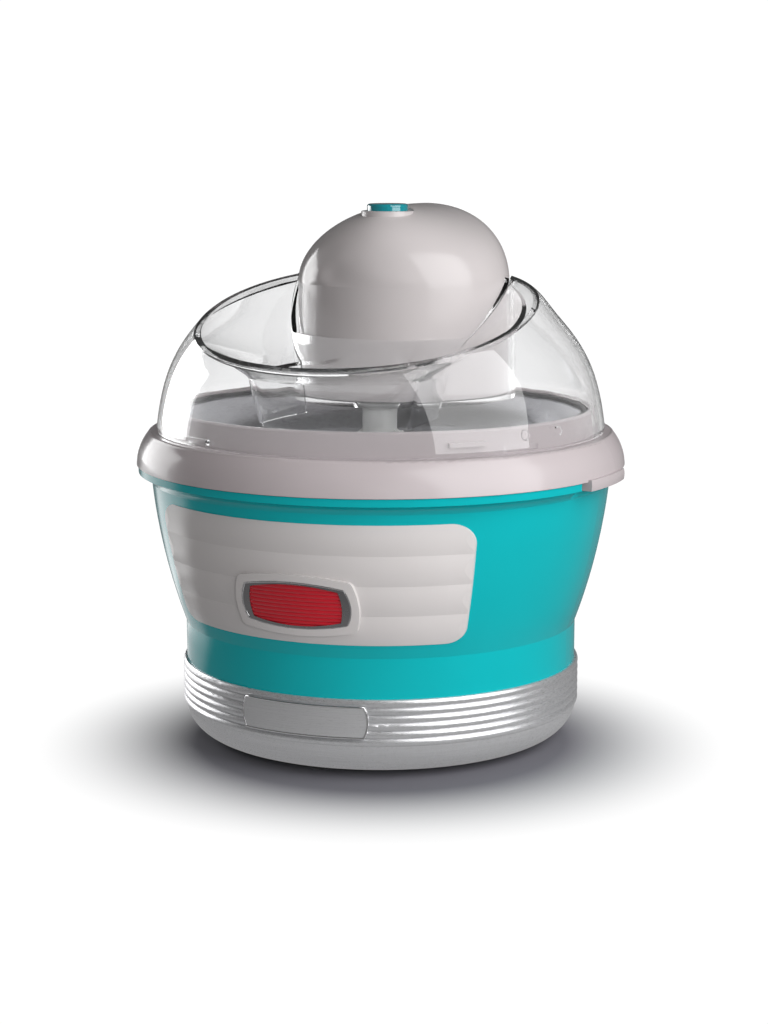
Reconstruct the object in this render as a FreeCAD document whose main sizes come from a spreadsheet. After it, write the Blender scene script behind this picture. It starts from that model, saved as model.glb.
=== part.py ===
"""Countertop ice cream maker: a freezer bowl in a ribbed casing, a clear lid with a filling funnel,
and a motor head that drives the paddle. Millimetres, +Z up, front towards -Y, origin on the floor
under the bowl's axis."""

import FreeCAD, Part
import math
import os

import Sketcher

from fcgear import fcgear, involute

# Driving sizes: name, millimetres or degrees, what it is.
SIZES = [
    # feet and base
    ("foot_radius", 6.5, "rubber foot"),
    ("foot_circle", 74, "circle that the feet stand on"),
    ("foot_height", 4.6, "floor to the base plate"),
    ("base_bottom", 3, "floor to the base shell"),
    ("base_foot_radius", 85, "bottom edge of the base shell"),
    ("base_radius", 98, "base shell over the ribs"),
    ("band_bottom", 17.5, "lower end of the ribbed band"),
    ("rib_pitch", 3.667, "height of one base rib"),
    ("rib_depth", 0.9, "base rib from groove to crown"),
    ("base_wall", 3, "wall of the base shell"),
    ("plate_thickness", 2.5, "base plate"),
    ("boss_circle", 60, "circle of the base screws"),
    ("screw_radius", 1.5, "thread of every screw"),
    # outer casing
    ("casing_waist", 96.2, "radius of the straight skirt"),
    ("casing_bend", 58.5, "height where the casing starts to swell"),
    ("casing_shoulder", 112, "radius below the lip"),
    ("casing_shoulder_height", 127.5, "height below the lip"),
    ("casing_swell", 2.2, "rise of the casing's arc over its chord"),
    ("casing_wall", 2.6, "wall of the casing"),
    ("lip_radius", 118.6, "casing lip"),
    ("lip_top", 135.7, "top of the casing lip"),
    ("casing_floor", 44, "underside of the casing's floor"),
    ("spigot_radius", 93.8, "spigot that enters the base shell"),
    ("spigot_bottom", 30, "lower end of the spigot"),
    ("notch_angle", 24, "finger notch in the lip, in degrees"),
    # front panel, badge and name plate
    ("panel_bottom", 65.3, "lower edge of the front panel"),
    ("panel_rib", 14.4, "height of one broad rib"),
    ("panel_half_angle", 44.8, "half the panel's width, in degrees"),
    ("panel_proud", 1.2, "panel above the casing"),
    ("panel_groove", 0.75, "groove between two broad ribs"),
    ("panel_run_out", 6.5, "angle over which the grooves run out at each end"),
    ("panel_corner", 9, "rounding of the panel's corners"),
    ("panel_depth", 1.4, "panel let into the casing"),
    ("badge_half_width", 24.5, "badge, half of its straight width"),
    ("badge_bottom", 75.2, "lower corners of the badge"),
    ("badge_top", 92.9, "upper corners of the badge"),
    ("badge_crown", 2.6, "bulge of the badge's four sides"),
    ("bezel_width", 3.3, "raised bezel round the badge"),
    ("insert_inset", 2.1, "badge frame above and below the insert"),
    ("name_half_width", 29.6, "name plate, half of its straight width"),
    ("name_bottom", 21.9, "lower edge of the name plate"),
    ("name_top", 36.3, "upper edge of the name plate"),
    # freezer bowl
    ("ring_radius", 119.3, "bowl ring at its lower edge"),
    ("ring_bottom", 136, "lower edge of the bowl ring"),
    ("ring_top", 151.8, "flat top of the bowl ring"),
    ("ring_wall", 3, "wall of the bowl ring"),
    ("lip_inner", 100.6, "bore of the upstanding lip"),
    ("lip_outer", 104, "outside of the upstanding lip"),
    ("lip_height", 163.5, "top of the upstanding lip"),
    ("tab_angle", 20, "lifting tab, in degrees"),
    ("shell_bottom", 50, "underside of the bowl"),
    ("shell_foot", 84, "radius of the bowl's underside"),
    ("shell_top_radius", 97.5, "bowl shell below its flange"),
    ("shell_wall", 2.2, "wall of the bowl shell"),
    ("liner_floor", 66, "inside floor of the liner"),
    ("liner_foot", 80, "inside radius just above the floor"),
    ("liner_neck", 88, "inside radius below the flare"),
    ("liner_neck_height", 141, "height where the flare starts"),
    ("liner_wall", 2, "wall of the liner"),
    ("pip_radius", 3.2, "pivot in the middle of the liner"),
    ("pip_height", 4.5, "height of the pivot"),
    # paddle and its drive
    ("paddle_thickness", 5, "paddle blade"),
    ("paddle_foot", 76.6, "half width at the bottom"),
    ("paddle_top", 82.4, "half width at the top"),
    ("paddle_bottom", 67.8, "lower edge of the blade"),
    ("paddle_shoulder", 126, "upper end of the blade's sides"),
    ("neck_radius", 9, "paddle neck"),
    ("neck_top", 168.9, "top of the paddle neck"),
    ("drive_flats", 8, "output shaft across its flats"),
    ("drive_bottom", 152, "lower end of the output shaft"),
    ("shaft_radius", 5, "output shaft in its bush"),
    ("running_gap", 0.06, "gap round a turning shaft"),
    # lid
    ("dome_bottom", 152.1, "lower edge of the clear dome"),
    ("dome_radius", 109.3, "clear dome at its lower edge"),
    ("dome_wall", 2.2, "wall of the clear lid"),
    ("rim_height", 214.3, "plane of the funnel rim, on the axis"),
    ("rim_tilt", 14.5, "tilt of the funnel rim, in degrees"),
    ("scoop_middle", 31, "widest place of the scoop, in front of the axis"),
    ("scoop_half_width", 77.5, "scoop inside its rim"),
    ("scoop_front", 62, "scoop in front of its widest place"),
    ("scoop_back", 84, "scoop behind its widest place, if it ran on through the motor well"),
    ("chute_middle", 56.5, "widest place of the chute, in front of the axis"),
    ("chute_top", 184, "mouth of the chute"),
    ("chute_half_width", 40.5, "chute at its mouth"),
    ("chute_front", 27.5, "chute in front of its widest place, at its mouth"),
    ("chute_back", 90, "chute behind its widest place, if it ran on through the motor well"),
    ("chute_bottom", 160, "lower end of the chute"),
    ("chute_taper", 5, "how much narrower the chute ends"),
    ("well_floor", 165, "underside of the motor well"),
    ("well_radius", 54, "inside of the motor well"),
    ("collar_height", 197.3, "top of the well's collar in front"),
    ("bush_bore", 9.1, "lid bush"),
    ("bush_radius", 11.8, "lid bush in the well floor"),
    ("lug_angle", 10, "bayonet lug, in degrees"),
    ("lock_angle", 15, "turn that locks the lid, in degrees"),
    # motor head
    ("head_middle", 31, "middle of the head behind the axis"),
    ("head_radius", 52.5, "motor housing"),
    ("head_bottom", 167.6, "lower edge of the housing"),
    ("head_shoulder", 221.5, "height where the sides start to close in"),
    ("head_top", 259.2, "top of the housing"),
    ("head_apex", 57, "crown of the housing behind the axis"),
    ("head_wall", 2.4, "wall of the housing"),
    ("cover_bottom", 169.4, "underside of the bottom cover"),
    ("cover_thickness", 2.5, "bottom cover"),
    ("gear_level", 178.4, "underside of the output gear"),
    ("wheel_level", 185.4, "underside of the reduction wheel"),
    ("plate_level", 191.4, "underside of the gear plate"),
    ("gear_plate_thickness", 2, "gear plate"),
    ("can_radius", 25, "motor can"),
    ("can_height", 24, "motor can"),
    ("button_middle", 9, "button behind the axis"),
    ("button_radius", 10, "push button"),
    ("button_top", 260.4, "top of the push button"),
    ("button_travel", 2.5, "travel of the push button"),
    ("gland_bore", 3.3, "cable gland"),
    ("gland_level", 224, "height of the cable gland"),
    ("gland_length", 18, "length of the cable gland"),
]

# Teeth and modules of the gear train; the mesh gap keeps the flanks apart.
OUTPUT_TEETH, PINION_TEETH, DRIVE_MODULE = 32, 12, 1.0
WHEEL_TEETH, ROTOR_TEETH, FAST_MODULE = 60, 10, 0.8
MESH_GAP = 0.12

# Directions round the axis, in degrees anticlockwise from +X.
FRONT = -90.0
TAB_DIRECTION = -5.0
LUG_DIRECTION = -31.5

UP = FreeCAD.Vector(0, 0, 1)
ACROSS = FreeCAD.Vector(1, 0, 0)
BACK = FreeCAD.Vector(0, 1, 0)

doc = FreeCAD.newDocument("ice_cream_maker")
sheet = doc.addObject("Spreadsheet::Sheet", "Sizes")
for row, (name, value, meaning) in enumerate(SIZES, start=1):
    sheet.set(f"A{row}", name)
    sheet.set(f"B{row}", str(value))
    sheet.setAlias(f"B{row}", name)
    sheet.set(f"C{row}", meaning)
doc.recompute()


class Size:
    """A number together with the sheet expression that it comes from."""

    def __init__(self, value, text):
        self.value = value
        self.text = text

    def __add__(self, other):
        other = as_size(other)
        return Size(self.value + other.value, f"({self.text} + {other.text})")

    def __sub__(self, other):
        other = as_size(other)
        return Size(self.value - other.value, f"({self.text} - {other.text})")

    def __mul__(self, other):
        other = as_size(other)
        return Size(self.value * other.value, f"({self.text} * {other.text})")

    def __truediv__(self, other):
        other = as_size(other)
        return Size(self.value / other.value, f"({self.text} / {other.text})")

    def __radd__(self, other):
        return as_size(other) + self

    def __rsub__(self, other):
        return as_size(other) - self

    def __rmul__(self, other):
        return as_size(other) * self

    def __neg__(self):
        return Size(-self.value, f"(0 - {self.text})")


def as_size(number):
    return number if isinstance(number, Size) else Size(float(number), f"({float(number):.6f})")


class Sheet:
    """Reads the sizes by name, as S.casing_wall."""

    def __getattr__(self, name):
        return Size(float(sheet.get(name)), f"Sizes.{name}")


S = Sheet()
NODES = {}


def spot(x, y, z=0):
    return FreeCAD.Vector(as_size(x).value, as_size(y).value, as_size(z).value)


def bind(item, path, size):
    item.setExpression(path, as_size(size).text)


def publish(item, node):
    """Name a finished sub-part: its label is its file's name."""
    item.Label = node
    NODES[node] = item
    return item


def on_circle(count, radius, first=0.0, x=0, y=0):
    """Places spaced evenly round x, y, the first at an angle from +X."""
    places = []
    for index in range(count):
        turn = math.radians(first + 360.0 * index / count)
        places.append((x + radius * math.cos(turn), y + radius * math.sin(turn)))
    return places


# ---------------------------------------------------------------- sketches


def new_sketch(body, role, level=0, swing=0.0):
    """A sketch on one of the body's origin planes, raised along its normal and swung about Z."""
    sketch = body.newObject("Sketcher::SketchObject", body.Name + "_sketch")
    plane = [item for item in body.Origin.OriginFeatures if item.Role == role][0]
    sketch.AttachmentSupport = [(plane, "")]
    sketch.MapMode = "FlatFace"
    if swing:
        sketch.AttachmentOffset = FreeCAD.Placement(FreeCAD.Vector(), FreeCAD.Rotation(BACK, swing))
    bind(sketch, "AttachmentOffset.Base.z", level)
    return sketch


def dimension(sketch, kind, places, size):
    """Add one dimension and bind it to its expression."""
    index = sketch.addConstraint(Sketcher.Constraint(kind, *places, size.value))
    sketch.setExpression(f"Constraints[{index}]", size.text)


def pin(sketch, geometry, end, x, y):
    """Hold a point of the sketch at x, y from the sketch's origin."""
    for kind, axis, size in (("DistanceX", -2, as_size(x)), ("DistanceY", -1, as_size(y))):
        if abs(size.value) < 1e-9:
            sketch.addConstraint(Sketcher.Constraint("PointOnObject", geometry, end, axis))
        elif size.value > 0:
            dimension(sketch, kind, (-1, 1, geometry, end), size)
        else:
            dimension(sketch, kind, (geometry, end, -1, 1), -size)


def arc_radius(start, end, rise):
    """Radius of the arc from start to end that rises by rise over its chord."""
    across = as_size(end[0]) - start[0]
    along_it = as_size(end[1]) - start[1]
    return (across * across + along_it * along_it) / (8 * rise) + rise / 2


def outline(sketch, corners, bulges=None):
    """Draw a closed loop. bulges gives a side's rise to the right of its direction, so a loop that
    runs anticlockwise swells with a positive rise and is hollowed by a negative one."""
    bulges = bulges or {}
    count = len(corners)
    spots = [spot(x, y) for x, y in corners]
    sides = []
    for side in range(count):
        start, end = spots[side], spots[(side + 1) % count]
        if side not in bulges:
            sides.append((sketch.addGeometry(Part.LineSegment(start, end)), 1, 2))
            continue
        rise = as_size(bulges[side]).value
        run = end - start
        middle = (start + end) / 2 + FreeCAD.Vector(run.y, -run.x, 0).normalize() * rise
        if rise > 0:
            sides.append((sketch.addGeometry(Part.Arc(start, middle, end)), 1, 2))
        else:
            sides.append((sketch.addGeometry(Part.Arc(end, middle, start)), 2, 1))
    for side in range(count):
        index, _, last = sides[side]
        following, first, _ = sides[(side + 1) % count]
        sketch.addConstraint(Sketcher.Constraint("Coincident", index, last, following, first))
    for side in range(count):
        index, first, _ = sides[side]
        pin(sketch, index, first, *corners[side])
        if side in bulges:
            rise = as_size(bulges[side])
            rise = rise if rise.value > 0 else -rise
            radius = arc_radius(corners[side], corners[(side + 1) % count], rise)
            dimension(sketch, "Radius", (index,), radius)


def circles(sketch, places, radius):
    """Circles of one radius at several places."""
    for x, y in places:
        shape = Part.Circle(spot(x, y), UP, as_size(radius).value)
        index = sketch.addGeometry(shape)
        pin(sketch, index, 3, x, y)
        dimension(sketch, "Radius", (index,), as_size(radius))


def rectangle(sketch, x, y, width, depth):
    """A rectangle with its middle at x, y."""
    left, right = x - as_size(width) / 2, x + as_size(width) / 2
    front, back = y - as_size(depth) / 2, y + as_size(depth) / 2
    outline(sketch, [(left, front), (right, front), (right, back), (left, back)])


# ---------------------------------------------------------------- features


def new_body(name):
    return doc.addObject("PartDesign::Body", name)


def turn(body, corners, bulges=None, sweep=360, swing=0.0):
    """Revolve a profile of (radius, height) about Z; a part turn is centred on the swing."""
    sketch = new_sketch(body, "XZ_Plane", swing=swing)
    outline(sketch, corners, bulges)
    feature = body.newObject("PartDesign::Revolution", body.Name + "_turn")
    feature.Profile = sketch
    feature.ReferenceAxis = (sketch, ["V_Axis"])
    feature.Midplane = as_size(sweep).value < 360
    bind(feature, "Angle", sweep)
    return feature


def turned(name, corners, bulges=None, sweep=360, swing=0.0):
    body = new_body(name)
    turn(body, corners, bulges, sweep, swing)
    return body


def repeat(body, feature, count):
    """Repeat a turned feature evenly about Z."""
    doc.recompute()
    pattern = body.newObject("PartDesign::PolarPattern", body.Name + "_pattern")
    pattern.Originals = [feature]
    pattern.Axis = (feature.Profile[0], ["V_Axis"])
    pattern.Angle = 360
    pattern.Occurrences = count
    body.Tip = pattern


def raised(body, level, height, draw):
    """Pad what draw(sketch) draws on a level plane."""
    sketch = new_sketch(body, "XY_Plane", level)
    draw(sketch)
    pad = body.newObject("PartDesign::Pad", body.Name + "_pad")
    pad.Profile = sketch
    bind(pad, "Length", height)
    return body


def bored(body, level, depth, draw):
    """Cut what draw(sketch) draws away, from a level plane upward."""
    sketch = new_sketch(body, "XY_Plane", level)
    draw(sketch)
    pocket = body.newObject("PartDesign::Pocket", body.Name + "_pocket")
    pocket.Profile = sketch
    pocket.Reversed = True
    bind(pocket, "Length", depth)
    return body


def rounded(body, radius, chosen):
    """Fillet the edges of the body's last feature that chosen(edge) picks."""
    doc.recompute()
    edges = enumerate(body.Tip.Shape.Edges, start=1)
    names = [f"Edge{number}" for number, edge in edges if chosen(edge)]
    tip = body.Tip
    fillet = body.newObject("PartDesign::Fillet", body.Name + "_fillet")
    fillet.Base = (tip, names)
    bind(fillet, "Radius", radius)
    return body


def straight(edge):
    return edge.Curve.TypeId == "Part::GeomLine"


def boolean(kind, name, base, tool):
    """A Part::Cut, Part::Fuse or Part::Common of two items."""
    item = doc.addObject(kind, name)
    item.Base = base
    item.Tool = tool
    return item


def made(node, shape):
    """A sub-part whose shape comes from Part's own functions."""
    item = doc.addObject("Part::Feature", node + "_shape")
    item.Shape = shape
    return publish(item, node)


def screws(node, places, head_radius, head_level, head_height, shank_length):
    """A group of screws with their heads down, each with a driver slot."""
    body = new_body(node + "_group")
    head_level = as_size(head_level)
    raised(body, head_level, head_height, lambda s: circles(s, places, head_radius))
    raised(body, head_level + head_height, shank_length, lambda s: circles(s, places, S.screw_radius))
    slots = new_sketch(body, "XY_Plane", head_level)
    for x, y in places:
        rectangle(slots, x, y, 1.5 * as_size(head_radius), 0.8)
    pocket = body.newObject("PartDesign::Pocket", body.Name + "_slots")
    pocket.Profile = slots
    pocket.Reversed = True
    bind(pocket, "Length", as_size(head_height) / 2)
    return publish(body, node)


def flipped(item, level):
    """Turn a group of screws heads up, about the level plane."""
    item.Placement = FreeCAD.Placement(spot(0, 0, 2 * as_size(level)), FreeCAD.Rotation(ACROSS, 180))
    return item


# ---------------------------------------------------------------- base


def barrel(name, half_width, bottom, top, end_rise, flat_rise):
    """A prism towards the front with swelling ends, and swelling long sides where flat_rise is set."""
    body = new_body(name)
    start = 60
    sketch = new_sketch(body, "XZ_Plane", start)
    corners = [(-half_width, bottom), (half_width, bottom), (half_width, top), (-half_width, top)]
    bulges = {1: end_rise, 3: end_rise}
    if flat_rise:
        bulges.update({0: flat_rise, 2: flat_rise})
    outline(sketch, corners, bulges)
    pad = body.newObject("PartDesign::Pad", name + "_pad")
    pad.Profile = sketch
    bind(pad, "Length", S.ring_radius - start)
    return body


def box_ring(inner, outer, bottom, top):
    """Profile corners of a plain ring."""
    return [(inner, bottom), (outer, bottom), (outer, top), (inner, top)]


def base():
    groove = S.base_radius - S.rib_depth
    inside = groove - S.base_wall
    band = [(groove, S.band_bottom + S.rib_pitch * rib) for rib in range(7)]
    corners = [(S.base_foot_radius - 3, S.base_bottom), (S.base_foot_radius, S.base_bottom)]
    corners += band
    corners += [
        (inside, band[-1][1]),
        (inside, S.band_bottom + 1),
        (S.base_foot_radius - 0.2, S.foot_height),
        (S.base_foot_radius - 3, S.foot_height),
    ]
    bulges = {2 + rib: S.rib_depth for rib in range(6)}
    bulges[1] = 2.8
    bulges[10] = -2.4
    blank = turned("base_blank", corners, bulges)

    seat = box_ring(S.base_radius - 1.2, S.base_radius + 1.2, S.name_bottom - 3, S.name_top + 3)
    ring = turned("name_ring", seat, sweep=60, swing=FRONT)
    prism = barrel("name_prism", S.name_half_width, S.name_bottom, S.name_top, 1.6, None)
    plate = publish(boolean("Part::Common", "name_common", ring, prism), "name_plate")
    publish(boolean("Part::Cut", "base_cut", blank, plate), "base_shell")


def base_plate_and_feet():
    places = on_circle(4, S.foot_circle, FRONT)
    screw_places = on_circle(4, S.boss_circle, FRONT + 45)
    body = new_body("plate_body")
    middle = [(0, 0)]
    raised(body, S.foot_height, S.plate_thickness, lambda s: circles(s, middle, S.base_foot_radius - 0.5))
    bored(body, S.foot_height, S.plate_thickness, lambda s: circles(s, places, 3.5))
    bored(body, S.foot_height, S.plate_thickness, lambda s: circles(s, screw_places, S.screw_radius + 0.2))
    publish(body, "base_plate")

    stem_top = S.foot_height + S.plate_thickness
    foot = [(0, 0), (S.foot_radius - 0.8, 0), (S.foot_radius, 0.8), (S.foot_radius, S.foot_height)]
    foot += [(3.5, S.foot_height), (3.5, stem_top), (4.2, stem_top), (3.2, stem_top + 2), (0, stem_top + 2)]
    for name, (x, y) in zip(("front", "right", "back", "left"), places):
        item = publish(turned(f"foot_{name}_body", foot), f"foot_{name}")
        bind(item, "Placement.Base.x", x)
        bind(item, "Placement.Base.y", y)
    screws("base_screws", screw_places, 3.2, S.foot_height - 1.6, 1.6, 14)


# ---------------------------------------------------------------- casing


def casing_radius(height, offset=0):
    """Radius of the swelling casing at a height, plus an offset."""
    low, high = S.casing_bend, S.casing_shoulder_height
    share = (2 * as_size(height) - low - high) / (high - low)
    middle = (S.casing_waist + S.casing_shoulder) / 2
    slope = (S.casing_shoulder - S.casing_waist) / 2
    return middle + share * slope + S.casing_swell * (1 - share * share) + offset


def casing_blank():
    """The casing before the panel and the finger notches are cut from it."""
    wall = S.casing_wall
    lip_inside = S.lip_radius - wall
    mouth = S.casing_shoulder - wall
    corners = [
        (S.spigot_radius - wall, S.spigot_bottom),
        (S.spigot_radius, S.spigot_bottom),
        (S.spigot_radius, S.band_bottom + S.rib_pitch * 6),
        (S.casing_waist, S.band_bottom + S.rib_pitch * 6),
        (S.casing_waist, S.casing_bend),
        (S.casing_shoulder, S.casing_shoulder_height),
        (S.lip_radius - 0.2, S.casing_shoulder_height + 4.7),
        (S.lip_radius, S.lip_top),
        (lip_inside - 0.1, S.lip_top),
        (lip_inside - 0.3, S.casing_shoulder_height + 5.5),
        (mouth, S.casing_shoulder_height + 0.9),
        (S.casing_waist - wall, S.casing_bend),
        (S.casing_waist - wall, S.casing_floor + wall),
        (0, S.casing_floor + wall),
        (0, S.casing_floor),
        (S.spigot_radius - wall, S.casing_floor),
    ]
    bulges = {4: S.casing_swell, 5: -1.0, 9: 0.9, 10: -S.casing_swell}
    body = turned("casing_blank", corners, bulges)
    places = on_circle(4, S.boss_circle, FRONT + 45)
    boss_bottom = S.foot_height + S.plate_thickness
    raised(body, boss_bottom, S.casing_floor - boss_bottom, lambda s: circles(s, places, 4.5))
    bored(body, boss_bottom, 16, lambda s: circles(s, places, S.screw_radius))
    return body


def finger_notches():
    """Two sectors of the lip, under the tabs of the bowl ring."""
    body = new_body("notches")
    profile = box_ring(S.casing_shoulder + 0.4, S.lip_radius + 3, S.casing_shoulder_height - 2, S.lip_top + 2)
    feature = turn(body, profile, sweep=S.notch_angle, swing=TAB_DIRECTION)
    repeat(body, feature, 2)
    return body


def follow_casing(bottom, top, inner, outer, ribs=1, crown=None):
    """Profile of a strip that follows the casing, with convex ribs on its outside."""
    step = (as_size(top) - bottom) / ribs
    levels = [as_size(bottom) + step * rib for rib in range(ribs + 1)]
    corners = [(casing_radius(levels[0], inner), levels[0])]
    corners += [(casing_radius(level, outer), level) for level in levels]
    corners += [(casing_radius(levels[-1], inner), levels[-1])]
    reach = (as_size(top) - bottom) / (S.casing_shoulder_height - S.casing_bend)
    bulges = {len(corners) - 1: -(S.casing_swell * reach * reach)}
    for rib in range(ribs):
        bulges[1 + rib] = crown or S.casing_swell * reach * reach
    return corners, bulges


def rib_relief(name):
    """What is taken off the panel to leave four ribs; it runs out straight at both ends."""
    levels = [S.panel_bottom + S.panel_rib * rib for rib in range(5)]
    beyond = casing_radius(levels[4], 6)
    corners = [(beyond, levels[0] - 2), (beyond, levels[4] + 2)]
    corners.append((casing_radius(levels[4], S.panel_proud + 2), levels[4] + 2))
    corners += [(casing_radius(level, S.panel_proud - S.panel_groove), level) for level in reversed(levels)]
    corners.append((casing_radius(levels[0], S.panel_proud + 2), levels[0] - 2))
    bulges = {3 + rib: -1 * (S.panel_groove - 0.12) for rib in range(4)}
    body = new_body(name)
    reach = S.panel_half_angle - S.panel_run_out
    turn(body, corners, bulges, 2 * reach, FRONT)
    for side in (-1, 1):
        sketch = new_sketch(body, "XZ_Plane", swing=FRONT + side * reach.value)
        outline(sketch, corners, bulges)
        pad = body.newObject("PartDesign::Pad", name + "_run_out")
        pad.Profile = sketch
        pad.Reversed = side > 0
        bind(pad, "Length", 20)
    return body


def front_panel():
    """Cream panel: four broad ribs, rounded corners and a raised bezel round the badge."""
    top = S.panel_bottom + S.panel_rib * 4
    strip = turned(
        "panel_strip",
        *follow_casing(S.panel_bottom - 1, top + 1, -S.panel_depth, S.panel_proud),
        sweep=2 * S.panel_half_angle + 30,
        swing=FRONT,
    )
    share = math.sin(math.radians(S.panel_half_angle.value))
    lower, upper = casing_radius(S.panel_bottom) * share, casing_radius(top) * share
    shape = new_body("panel_prism")
    sketch = new_sketch(shape, "XZ_Plane", 40)
    corners = [(-lower, S.panel_bottom), (lower, S.panel_bottom), (upper, top), (-upper, top)]
    outline(sketch, corners, {1: 1.1, 3: 1.1})
    pad = shape.newObject("PartDesign::Pad", "panel_pad")
    pad.Profile = sketch
    bind(pad, "Length", 90)
    rounded(shape, S.panel_corner, lambda edge: straight(edge) and abs(edge.Curve.Direction.y) > 0.99)
    smooth = boolean("Part::Common", "panel_smooth", strip, shape)
    blank = boolean("Part::Cut", "panel_ribbed", smooth, rib_relief("rib_relief"))

    low, high = S.badge_bottom - 8, S.badge_top + 8
    bezel_ring = turned("bezel_ring", *follow_casing(low, high, -0.7, 2.6), sweep=60, swing=FRONT)
    bezel = barrel(
        "bezel_prism",
        S.badge_half_width + S.bezel_width,
        S.badge_bottom - S.bezel_width,
        S.badge_top + S.bezel_width,
        S.badge_crown,
        S.badge_crown,
    )
    rounded(bezel, 3, lambda edge: straight(edge) and abs(edge.Curve.Direction.y) > 0.99)
    bezel = boolean("Part::Common", "bezel_common", bezel_ring, bezel)
    whole = boolean("Part::Fuse", "panel_with_bezel", blank, bezel)

    frame_ring = turned("frame_ring", *follow_casing(low, high, -0.6, 2.3), sweep=60, swing=FRONT)
    frame = barrel(
        "frame_prism", S.badge_half_width, S.badge_bottom, S.badge_top, S.badge_crown, S.badge_crown
    )
    rounded(frame, 1.5, lambda edge: straight(edge) and abs(edge.Curve.Direction.y) > 0.99)
    tray = boolean("Part::Common", "frame_tray", frame_ring, frame)
    seat_ring = turned("seat_ring", *follow_casing(low, high, -0.6, 5), sweep=60, swing=FRONT)
    seat = boolean("Part::Common", "badge_seat", seat_ring, frame)
    panel = publish(boolean("Part::Cut", "panel_cut", whole, seat), "front_panel")

    corners, bulges = follow_casing(low, high, 0.1, 1.4, 18, 0.35)
    insert_ring = turned("insert_ring", corners, bulges, 60, FRONT)
    insert = barrel(
        "insert_prism",
        S.badge_half_width - 1.4 * S.insert_inset,
        S.badge_bottom + 0.7 * S.insert_inset,
        S.badge_top - 0.7 * S.insert_inset,
        1.2,
        S.badge_crown,
    )
    pocket_ring = turned("pocket_ring", *follow_casing(low, high, 0.1, 3.2), sweep=60, swing=FRONT)
    pocket = boolean("Part::Common", "badge_pocket", pocket_ring, insert)
    publish(boolean("Part::Common", "insert_common", insert_ring, insert), "badge_insert")
    publish(boolean("Part::Cut", "frame_cut", tray, pocket), "badge_frame")
    return panel, tray


def casing():
    panel, tray = front_panel()
    with_notches = boolean("Part::Cut", "casing_notched", casing_blank(), finger_notches())
    with_panel = boolean("Part::Cut", "casing_panel_seat", with_notches, panel)
    publish(boolean("Part::Cut", "casing_cut", with_panel, tray), "outer_casing")
    seat_bottom = S.casing_floor + S.casing_wall
    seat = box_ring(70, 78, seat_bottom, S.shell_bottom - 0.3)
    publish(turned("seat_body", seat), "bowl_seat")


# ---------------------------------------------------------------- freezer bowl


def bowl_ring():
    """Cream ring on top of the casing, with its upstanding lip, lifting tabs and bayonet hooks."""
    wall = S.ring_wall
    skirt = S.lip_outer - 0.4
    corners = [
        (S.ring_radius - wall, S.ring_bottom),
        (S.ring_radius, S.ring_bottom),
        (S.ring_radius - 5.6, S.ring_top - 1),
        (S.ring_radius - 7.4, S.ring_top),
        (S.lip_outer, S.ring_top),
        (S.lip_outer, S.lip_height - 1),
        (S.lip_inner, S.lip_height - 1),
        (S.lip_inner, S.ring_bottom + 6),
        (skirt, S.ring_bottom + 6),
        (skirt, S.ring_top - wall),
        (S.ring_radius - 8.6, S.ring_top - wall),
    ]
    bulges = {1: 1.3, 2: 0.4, 5: 1.0, 10: -1.1}
    body = turned("ring_body", corners, bulges)
    tab = box_ring(S.casing_shoulder + 0.8, S.ring_radius + 1.7, S.ring_bottom - 4.2, S.ring_bottom + 1)
    repeat(body, turn(body, tab, {1: 0.3}, S.tab_angle, TAB_DIRECTION), 2)
    hook = box_ring(S.lip_outer - 1, S.lip_outer + 2.5, S.ring_top + 4.4, S.ring_top + 6.4)
    hook_direction = LUG_DIRECTION - S.lock_angle.value
    repeat(body, turn(body, hook, None, S.lug_angle, hook_direction), 4)
    publish(body, "bowl_ring")


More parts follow.
